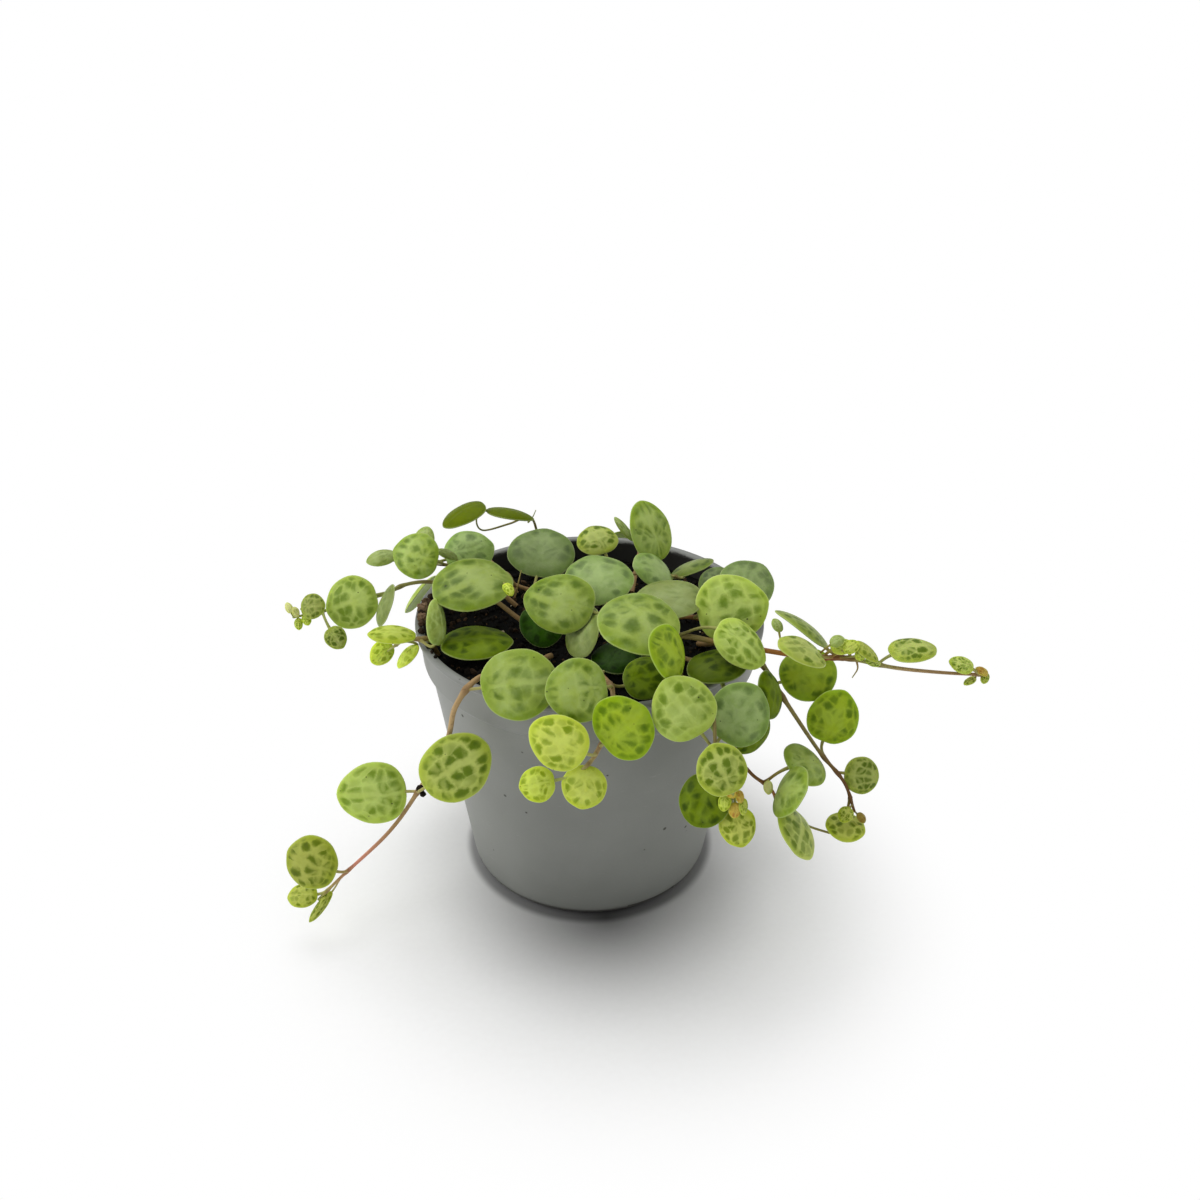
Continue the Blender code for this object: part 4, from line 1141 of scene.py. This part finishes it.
@dataclass(frozen=True)
class Scatter:
    """Loose bits on the soil: how many lie on a square metre and which of the finishes they have.

    sizes are the smallest and the largest in millimetres, stretch their shape, and sink how deep
    they lie in the soil.
    """

    name: str
    density: float
    sizes: tuple[float, float]
    stretch: Point
    sink: float
    seed: int
    finish: str


@dataclass
class Compost:
    """The soil in the pot, with crumbs, perlite and fibres on it. Sizes in millimetres.

    level is the height of its top in the middle, tilt how steeply that falls to the back and bump and
    stride the height and spacing of its gentle humps. bare is how far from the brim the loose bits
    stay and seed what the clods' own lumps are drawn from. wall holds (radius, height) pairs, and
    clods holds (x, y, z, size, shade) of the bits on the lip and the plant.
    """

    crumbs: Tree
    level: float = 47.0
    tilt: float = 0.045
    bump: float = 0.2
    stride: float = 5.5
    bare: float = 1.2
    brim: float = 28.0
    sides: int = 120
    rings: int = 46
    seed: int = 5
    wall: tuple = ((19.3, 1.6), (21.15, 3.6), (26.7, 42.5), (27.75, 43.6), (27.98, 45.4))
    clods: tuple = (
        (-28.6, -3, 50.5, 1.5, 0.9), (-28.4, -5, 50.4, 1.2, 0.7), (-28.8, 0, 50.6, 1.8, 0.95),
        (-28.9, -1.6, 50.4, 1.3, 0.5), (-28.4, 2, 50.6, 1.6, 0.8), (-27.9, 4.4, 50.4, 1.2, 0.4),
        (-28.1, -7.4, 50.3, 1.1, 0.3), (-26.4, -12.2, 50.3, 0.8, 0.1), (-24.8, -15.2, 50.2, 0.7, 0.1),
        (-25.6, -13.8, 50.2, 0.6, 0.3), (-26.9, -27.8, 33.2, 1.3, 0.0), (-26.5, -28, 32.3, 0.9, 0.0),
    )

    # The compost and its crumbs and fibres are its own dark brown darkened nearly to black as painted shade
    # under the leaves; the clods on the lip keep the lighter compost colour.
    finishes = {
        "compost_dark": SoilFinish(),
        "compost_bits": SoilFinish((9, 8, 6), (26, 21, 15), (82, 62, 42), 0.85),
        "perlite": SoilFinish((176, 160, 132), (206, 192, 164), (226, 216, 196), 0.85),
        "clods": SoilFinish((26, 21, 16), (84, 66, 50), (150, 124, 98), 0.9),
    }
    loose = (
        Scatter("soil_crumbs", 1.05e6, (0.35, 2.1), (1, 0.85, 0.7), 0.05, 3, "compost_bits"),
        Scatter("soil_perlite", 1.8e4, (0.4, 1.5), (1, 0.9, 0.8), 0.0, 8, "perlite"),
        Scatter("soil_fibres", 4.0e4, (1.2, 4.0), (1, 0.1, 0.12), -0.05, 14, "compost_bits"),
    )

    def top(self, x: float, y: float) -> float:
        """The smooth height of the soil at a place, all in metres.

        Args:
            x: Place across.
            y: Place in depth.

        Returns:
            The height.
        """
        stride = self.stride * MM
        bumps = self.bump * MM * math.sin(x / stride + 1) * math.cos(y / stride)
        return self.level * MM - self.tilt * y + bumps

    def _lumpy(self, x: float, y: float) -> float:
        """The height of the soil with its lumps, all in metres.

        Args:
            x: Place across.
            y: Place in depth.

        Returns:
            The height.
        """
        place = Vector((x, y, 0)) / MM
        rough = noise.fractal(place * 0.38, 0.9, 2.1, 4) * 0.42
        rough += noise.fractal(place * 1.4, 0.8, 2.0, 3) * 0.2
        return self.top(x, y) + (rough - 0.15) * MM

    def build(self) -> list[bpy.types.Object]:
        """Make the soil and its loose bits.

        Returns:
            The pieces.
        """
        paints = {name: finish.paint(name) for name, finish in self.finishes.items()}
        rows = [(r, z * MM) for r, z in self.wall]
        rows += [(self.brim * (1 - ring / self.rings), self._lumpy) for ring in range(self.rings)]
        ends = [Vector((0, 0, height)) for height in (rows[0][1], self._lumpy(0, 0))]
        soil = ringed("compost", [circle(r * MM, height, self.sides) for r, height in rows], ends)
        soil.data.materials.append(paints["compost_dark"])
        made = [declare(soil, "soil", "soil")]
        for bits in self.loose:
            smallest, largest = (size * MM for size in bits.sizes)
            values = {"Density": bits.density, "Smallest": smallest, "Largest": largest,
                      "Stretch": bits.stretch, "Sink": bits.sink * MM, "Seed": bits.seed,
                      "Finish": paints[bits.finish]}
            made.append(declare(self.crumbs.bake(bits.name, self._surface(), values), "soil"))
        clods = self._clods()
        clods.data.materials.append(paints["clods"])
        return [*made, declare(clods, "soil")]

    def _clods(self) -> bpy.types.Object:
        """The bits of compost that lie on the lip and hang on the plant.

        Returns:
            The piece.
        """
        shape = bmesh.new()
        shade = shape.verts.layers.float.new("shade")
        noise.seed_set(self.seed)
        for number, (*place, size, pale) in enumerate(self.clods):
            radius, middle, salt = size / 2 * MM, Vector(place) * MM, Vector((number * 7.3, 0, 0))
            made = bmesh.ops.create_icosphere(shape, subdivisions=3, radius=radius)
            for vert in made["verts"]:
                vert.co += noise.noise_vector(vert.co / (0.45 * MM) + salt) * 0.45 * radius
                vert.co += middle
                vert[shade] = pale
        return linked("soil_clods", meshed("soil_clods", shape))

    def _surface(self) -> bpy.types.Mesh:
        """The bare top of the soil, a little in from the wall, for things to lie on.

        Returns:
            Its mesh.
        """
        shape = bmesh.new()
        bmesh.ops.create_circle(shape, cap_ends=True, cap_tris=True, segments=48,
                                radius=(self.brim - self.bare) * MM)
        bmesh.ops.subdivide_edges(shape, edges=shape.edges, cuts=7, use_grid_fill=True)
        for vert in shape.verts:
            vert.co.z = self._lumpy(vert.co.x, vert.co.y)
        bmesh.ops.recalc_face_normals(shape, faces=shape.faces)
        return meshed("soil_surface", shape)


@dataclass
class Blade:
    """A leaf blade: a round fleshy lens, domed to its face. Sizes in millimetres.

    above and below are how far out the rings of points lie on the face and the underside, as shares
    of the way to the edge. salt parts the random draws of one leaf from those of the next.
    """

    leaf: Leaf
    node: Vector
    number: int
    thickness: float = 0.95
    sides: int = 44

    above = (0.13, 0.28, 0.43, 0.58, 0.72, 0.83, 0.915, 0.97, 0.993)
    below = (0.993, 0.96, 0.87, 0.7, 0.45)
    salt = 7919

    def __post_init__(self) -> None:
        """Work out the blade's place and its own small differences."""
        compass, lean = (math.radians(angle) for angle in self.leaf.facing)
        self.middle = Vector(self.leaf.middle) * MM
        self.face = Vector((math.sin(lean) * math.cos(compass), math.sin(lean) * math.sin(compass),
                            math.cos(lean)))
        ahead = self.middle - self.node
        self.ahead = (ahead - self.face * ahead.dot(self.face)).normalized()
        self.across = self.face.cross(self.ahead)
        chance = random.Random(self.number * self.salt)
        self.phases = [chance.uniform(0, math.tau) for _ in range(3)]
        self.cup = chance.uniform(-0.22, 0.1)
        self.droop = chance.uniform(-0.3, 0.06)
        self.ovate = chance.uniform(0.02, 0.09)
        self.seed = chance.random()
        self.tint = self.leaf.light + chance.uniform(-0.15, 0.15)
        self.fullness = min(1.0, 0.25 + self.leaf.size[0] / 10)

    @property
    def heel(self) -> Vector:
        """Where the stalk meets the blade."""
        return self.middle - self.ahead * self.leaf.size[0] * MM / 2

    def _outline(self, angle: float) -> float:
        """How far the edge lies at an angle from the tip, as a share of an ellipse.

        Args:
            angle: The angle.

        Returns:
            The share, near 1.
        """
        turn = math.atan2(math.sin(angle), math.cos(angle))
        tip = 0.035 * bell(turn, 0.26)
        notch = 0.04 * bell(math.pi - abs(turn), 0.3)
        wave = 0.016 * math.sin(2 * turn + self.phases[0]) + 0.016 * math.sin(3 * turn + self.phases[1])
        wave += 0.007 * math.sin(7 * turn + self.phases[2])
        return 0.995 + tip - notch + wave

    def _point(self, share: float, angle: float, side: int) -> Vector:
        """A point of the skin.

        Args:
            share: How far out from the middle, 0 to 1.
            angle: Angle from the tip.
            side: 1 for the face, -1 for the underside, 0 for the edge.

        Returns:
            The point in metres.
        """
        length, width = self.leaf.size
        out = share * self._outline(angle)
        along, over = out * math.cos(angle), out * math.sin(angle)
        over *= 1 - self.ovate * along
        bend = length / 10
        mid = (0.35 - 0.56 * share ** 2) * self.fullness
        mid += bend * (self.cup * over ** 2 + self.droop * along ** 2)
        mid += 0.07 * bend * share ** 3 * math.sin(3 * angle + self.phases[2])
        half = self.thickness / 2 * self.fullness * math.sqrt(max(0.0, 1 - share ** 2.6))
        crease = -0.06 * bell(over, 0.09) * (1 - share) if side > 0 else 0.0
        rise = mid + side * half + crease
        return (self.middle + self.ahead * along * length / 2 * MM
                + self.across * over * width / 2 * MM + self.face * rise * MM)

    def build(self, name: str, finish: bpy.types.Material) -> bpy.types.Object:
        """Make the blade's mesh, with its own coordinates for the vein pattern.

        Args:
            name: The piece's name.
            finish: Its material.

        Returns:
            The piece.
        """
        rows = [(share, 1) for share in self.above] + [(1.0, 0)] + [(share, -1) for share in self.below]
        angles = [math.tau * step / self.sides for step in range(self.sides)]
        rings = [[self._point(share, angle, side) for angle in angles] for share, side in rows]
        piece = ringed(name, rings, (self._point(0, 0, 1), self._point(0, 0, -1)))
        piece.data.materials.append(finish)
        rows = [(*row, angle) for row in rows for angle in angles] + [(0.0, 1, 0.0), (0.0, -1, 0.0)]
        places = [(0.5 + share * math.sin(angle) / 2, 0.5 + share * math.cos(angle) / 2)
                  for share, _, angle in rows]
        layer = piece.data.uv_layers.new(name="blade")
        for loop in piece.data.loops:
            layer.data[loop.index].uv = places[loop.vertex_index]
        mark(piece.data, "under", [float(side < 0) for _, side, _ in rows])
        mark(piece.data, "seed", [self.seed] * len(rows))
        mark(piece.data, "tint", [self.tint] * len(rows))
        return piece


@dataclass
class Trail:
    """One stem of the plant, with its stalks and buds. Sizes in millimetres.

    first is the number of its first leaf and after how many numbers later its buds begin. taper is
    the tip's share of the girth, stalk, bud and twig are radii, joint how far a joint's swelling
    reaches, steps the points from one route point to the next and sides the points round a tube.
    """

    growth: Growth
    soil: Compost
    first: int
    taper: float = 0.46
    after: int = 500
    stalk: float = 0.24
    bud: float = 0.144
    twig: float = 0.17
    joint: float = 0.8
    steps: int = 14
    sides: int = 12

    def __post_init__(self) -> None:
        """Work out the stem's route and its blades."""
        points = [Vector(point) * MM for point in self.growth.route]
        slope = (points[1] - points[0]).normalized()
        radius = self.growth.girth * MM / 2
        root = self.soil.top(points[0].x, points[0].y)
        points[0].z = root + 0.3 * MM + radius * math.hypot(slope.x, slope.y)
        self.route = self._smooth(points)
        gaps = [(b - a).length for a, b in zip(self.route, self.route[1:])]
        self.reach = [sum(gaps[:count]) for count in range(len(self.route))]
        self.blades = self._blades(self.growth.leaves, self.first)
        self.buds = self._blades(self.growth.buds, self.first + self.after)

    def _smooth(self, points: list[Vector]) -> list[Vector]:
        """A smooth curve (Catmull-Rom) through points.

        Args:
            points: What it passes through.

        Returns:
            The points of the curve.
        """
        ends = [2 * points[0] - points[1], *points, 2 * points[-1] - points[-2]]
        route = []
        for before, start, end, after in zip(ends, ends[1:], ends[2:], ends[3:]):
            for step in range(self.steps):
                t = step / self.steps
                route.append(0.5 * (2 * start + (end - before) * t
                                    + (2 * before - 5 * start + 4 * end - after) * t * t
                                    + (3 * start - before - 3 * end + after) * t ** 3))
        return [*route, points[-1]]

    def _along(self, station: float) -> Vector:
        """The point at a share of the route's length.

        Args:
            station: The share, 0 at the root.

        Returns:
            The point.
        """
        left = station * self.reach[-1]
        for start, end, near, far in zip(self.route, self.route[1:], self.reach, self.reach[1:]):
            if left <= far:
                return start.lerp(end, (left - near) / max(far - near, 1e-9))
        return self.route[-1]

    def _blades(self, leaves: Sequence[Leaf], first: int) -> list[Blade]:
        """The blades of some leaves, each with its place on the stem."""
        return [Blade(leaf, self._along(leaf.station), number) for number, leaf in enumerate(leaves, first)]

    def _hue(self, share: float) -> Colour:
        """The stem's display colour at a share of its length.

        Args:
            share: The share, 0 at the root.

        Returns:
            The colour.
        """
        hues = self.growth.hues
        place = min(max(share, 0.0), 0.9999) * (len(hues) - 1)
        left, right = hues[int(place)], hues[min(int(place) + 1, len(hues) - 1)]
        return blended(left, right, place - int(place))

    def _stem_path(self) -> Path:
        """The stem's (place, radius, joint, colour) points, swollen at its joints.

        Returns:
            The path.
        """
        total = self.reach[-1]
        joints = sorted({leaf.station * total for leaf in self.growth.leaves})
        path = []
        for place, far in zip(self.route, self.reach):
            share = far / total
            swell = max(bell(far - joint, self.joint * MM) for joint in joints)
            slim = self.growth.girth / 2 * MM * (1 - (1 - self.taper) * share)
            path.append((place, slim * (0.8 + 0.34 * swell), swell, self._hue(share)))
        start, lead = path[0][0], (self.route[1] - self.route[0]).normalized()
        path.insert(0, (start - lead * 1.2 * MM, path[0][1], 0.6, self._hue(0)))
        tip, lead = path[-1][0], (self.route[-1] - self.route[-2]).normalized()
        slim = path[-1][1]
        for reach, share in ((0.7, 0.72), (1.1, 0.25)):
            path.append((tip + lead * slim * reach, slim * share, 0.0, self._hue(1)))
        return path

    def _stalk_path(self, blade: Blade, slim: float) -> Path:
        """A leaf stalk's (place, radius, joint, colour) points, bending from stem to blade.

        Args:
            blade: The blade it carries.
            slim: Its radius in millimetres.

        Returns:
            The path.
        """
        heel = blade.heel - blade.face * 0.3 * MM
        node, skin = blade.node, self._hue(blade.leaf.station)
        end = heel + blade.ahead * blade.leaf.size[0] * 0.14 * MM
        first = node.lerp(heel, 0.33)
        bow = min((heel - node).length * 0.3, 1.6 * MM)
        second = heel - (blade.ahead + blade.face * 0.8) * bow
        path, steps = [], 12
        for step in range(steps + 1):
            t = step / steps
            place = (node * (1 - t) ** 3 + first * 3 * t * (1 - t) ** 2 + second * 3 * t * t * (1 - t)
                     + end * t ** 3)
            radius = slim * (1 + 0.6 * (bell(t, 0.16) + 0.5 * bell(1 - t, 0.2))) * MM
            path.append((place, radius, 0.5 * bell(t, 0.12), blended(skin, MOSS, 0.25 + 0.6 * t)))
        return path

    def _twig_path(self, route: Sequence[Point]) -> Path:
        """A bare side shoot's (place, radius, joint, colour) points, thinner to its tip.

        Args:
            route: Its route in millimetres.

        Returns:
            The path.
        """
        line = self._smooth([Vector(point) * MM for point in route])
        shares = [number / (len(line) - 1) for number in range(len(line))]
        return [(place, self.twig * (1 - 0.55 * share) * MM, 0.0,
                 blended(self.growth.hues[-1], MOSS, 0.6 * share)) for place, share in zip(line, shares)]

    def _paths(self) -> bpy.types.Mesh:
        """The stem, its stalks and its twigs as lines that hold their girth, joints and colour.

        Returns:
            The mesh of lines.
        """
        paths = [self._stem_path()]
        paths += [self._stalk_path(blade, self.stalk) for blade in self.blades]
        paths += [self._stalk_path(bud, self.bud) for bud in self.buds]
        paths += [self._twig_path(route) for route in self.growth.twigs]
        points, edges = [], []
        for path in paths:
            start = len(points)
            points += path
            edges += [(number, number + 1) for number in range(start, len(points) - 1)]
        mesh = bpy.data.meshes.new("paths")
        mesh.from_pydata([tuple(place) for place, *_ in points], edges, [])
        mark(mesh, "girth", [radius for _, radius, _, _ in points])
        mark(mesh, "joint", [joint for _, _, joint, _ in points])
        skin = [share for *_, colour in points for share in (*linear(colour), 1.0)]
        mesh.attributes.new("skin", "FLOAT_COLOR", "POINT").data.foreach_set("color", skin)
        return mesh

    def build(self, tube: Tree, stem: bpy.types.Material, tones: dict[Tone, bpy.types.Material],
              cad: Iterable[str]) -> list[bpy.types.Object]:
        """Make the stem piece and each blade.

        Args:
            tube: The tree that runs tubes along paths.
            stem: The stem's material.
            tones: Leaf materials by tone.
            cad: Names of the CAD nodes.

        Returns:
            The pieces.
        """
        name = self.growth.name
        vine = tube.bake(f"vine_{name}", self._paths(), {"Sides": self.sides, "Finish": stem})
        made = [declare(vine, "stem", f"stem_{name}")]
        for count, blade in enumerate(self.blades, 1):
            node = f"leaf_{name}_{count}"
            kind, nodes = ("blade", (node,)) if node in cad else ("young", ())
            piece = blade.build(f"{kind}_{name}_{count}", tones[blade.leaf.tone])
            made.append(declare(piece, "leaf", *nodes))
        for count, bud in enumerate(self.buds, 1):
            made.append(declare(bud.build(f"bud_{name}_{count}", tones[bud.leaf.tone]), "leaf"))
        return made


@dataclass
class Studio:
    """The floor, the light and the camera. Places in metres.

    aim is what the lamps and the camera are set out from. pitch is how far the camera looks down, in
    degrees, focal and sensor are in millimetres and shift is in shares of the frame. ambient is how
    bright the surround is, reach half the floor's width, and lamps holds each lamp's name, place, size
    and watts.
    """

    aim: Point = (0.0, 0.0, 0.05)
    distance: float = 0.2
    pitch: float = 29.5
    focal: float = 34.71
    sensor: float = 36.0
    shift: tuple[float, float] = (0.00875, 0.0090833)
    ambient: float = 0.56
    reach: float = 6.0
    lamps: tuple = (("lamp_top", (-0.1, 0.25, 0.65), 0.5, 1.7), ("lamp_left", (-0.6, -0.1, 0.34), 0.5, 2.0),
                    ("lamp_right", (0.6, 0.1, 0.3), 0.45, 0.35))

    def build(self) -> None:
        """Set up the floor, world, lamps and camera."""
        self._floor()
        self._world()
        for lamp in self.lamps:
            self._lamp(*lamp)
        self._camera()

    def _floor(self) -> None:
        """A wide white floor that keeps the object's shadow, with painted shadow added in front of the pot,
        along its foot and around it.
        """
        mesh = bpy.data.meshes.new("floor")
        rim = [(self.reach * x, self.reach * y, 0) for x, y in ((-1, -1), (1, -1), (1, 1), (-1, 1))]
        mesh.from_pydata(rim, [], [(0, 1, 2, 3)])
        floor = linked("floor", mesh)
        paint = Paint("floor_white")
        place = paint.object_place()
        x, y, _ = paint.parted(place)
        paper = paint.grain(place, 900, 2)
        # Painted shadow: the floor's white is darkened in front of the pot, in a thin ring along its foot and
        # in a wide ring around it.
        aside, ahead = x - 0.003, y + 0.022
        reach = (aside * aside * 1.1 + ahead * ahead * 1.5) ** 0.5
        near = (1 - reach / 0.034).most(0.0) ** 1.5
        radius = (x * x + y * y) ** 0.5
        foot = radius.rise(24.1 * MM, 22.3 * MM)
        painted_shadow_halo = radius.rise(48 * MM, 22 * MM) ** 2
        shade = (1 - near * 0.84) * (1 - foot * 0.6) * (1 - painted_shadow_halo * 0.2)
        paint.finish(paint.toned(paint.blend((250, 250, 250), (255, 255, 255), paper), shade),
                     0.8, paper, 0.01 * MM, 0.2)
        paint.feed(Specular_IOR_Level=0.0)
        mesh.materials.append(paint.material)
        aside, ahead = x - 0.001, y + 0.016
        self._fade(paint, (aside * aside * 0.8 + ahead * ahead) ** 0.5)

    @staticmethod
    def _fade(paint: Paint, distance: Wire) -> None:
        """Let the floor turn into plain white for the camera, away from the object.

        Args:
            paint: The floor's bench.
            distance: How far out a place lies.
        """
        seen = paint.node("ShaderNodeLightPath", None, None, "Is Camera Ray")
        white = paint.node("ShaderNodeEmission", None, {"Color": (1, 1, 1, 1), "Strength": 1.0})
        sockets = {0: distance.rise(0.03, 0.062) * seen, 1: Wire(paint, paint.shader.outputs[0]), 2: white}
        both = paint.node("ShaderNodeMixShader", None, sockets)
        paint.plug(paint.tree.nodes["Material Output"].inputs["Surface"], both)

    def _world(self) -> None:
        """A soft even surround that is white to the camera."""
        world = bpy.data.worlds.new("studio")
        world.use_nodes = True
        bpy.context.scene.world = world
        bench = Bench(world.node_tree)
        back = world.node_tree.nodes["Background"].inputs
        seen = bench.node("ShaderNodeLightPath", None, None, "Is Camera Ray")
        bench.plug(back["Color"], (1, 1, 1, 1))
        bench.plug(back["Strength"], self.ambient + seen * (1 - self.ambient))

    def _lamp(self, name: str, place: Point, size: float, watts: float) -> None:
        """A square soft lamp aimed at the object.

        Args:
            name: The lamp's name.
            place: Where it hangs.
            size: Its width.
            watts: Its power.
        """
        light = bpy.data.lights.new(name, "AREA")
        light.size = size
        light.energy = watts
        lamp = linked(name, light)
        lamp.location = place
        lamp.rotation_euler = (Vector(self.aim) - Vector(place)).to_track_quat("-Z", "Y").to_euler()

    def _camera(self) -> None:
        """The camera, level from side to side, looking down at the rim."""
        lens = bpy.data.cameras.new("camera")
        lens.sensor_width = self.sensor
        lens.lens = self.focal
        lens.shift_x, lens.shift_y = self.shift
        lens.clip_start = 0.005
        camera = linked("camera", lens)
        tilt = math.radians(self.pitch)
        x, y, z = self.aim
        camera.location = (x, y - self.distance * math.cos(tilt), z + self.distance * math.sin(tilt))
        camera.rotation_euler = (math.radians(90) - tilt, 0, 0)
        bpy.context.scene.camera = camera


def main() -> None:
    """Build and dress the potted plant and its studio."""
    logging.basicConfig(level=logging.INFO, format="%(name)s: %(message)s")
    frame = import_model()
    cad = set(frame["nodes"])
    bpy.context.scene.view_settings.view_transform = "Standard"
    tube, crumbs = tube_tree(), crumb_tree()
    made = [Pot(PotFinish()).build()]
    soil = Compost(crumbs)
    made += soil.build()
    stem = StemFinish().paint("stem_skin")
    tones = {tone: tone.value.paint(f"leaf_{tone.name.lower()}") for tone in Tone}
    first = 1
    for growth in PLANT:
        made += Trail(growth, soil, first).build(tube, stem, tones, cad)
        first += len(growth.leaves)
    Studio().build()
    for piece in made:
        LOG.info("%s: %d faces", piece.name, len(piece.data.polygons))


if __name__ == "__main__":
    main()
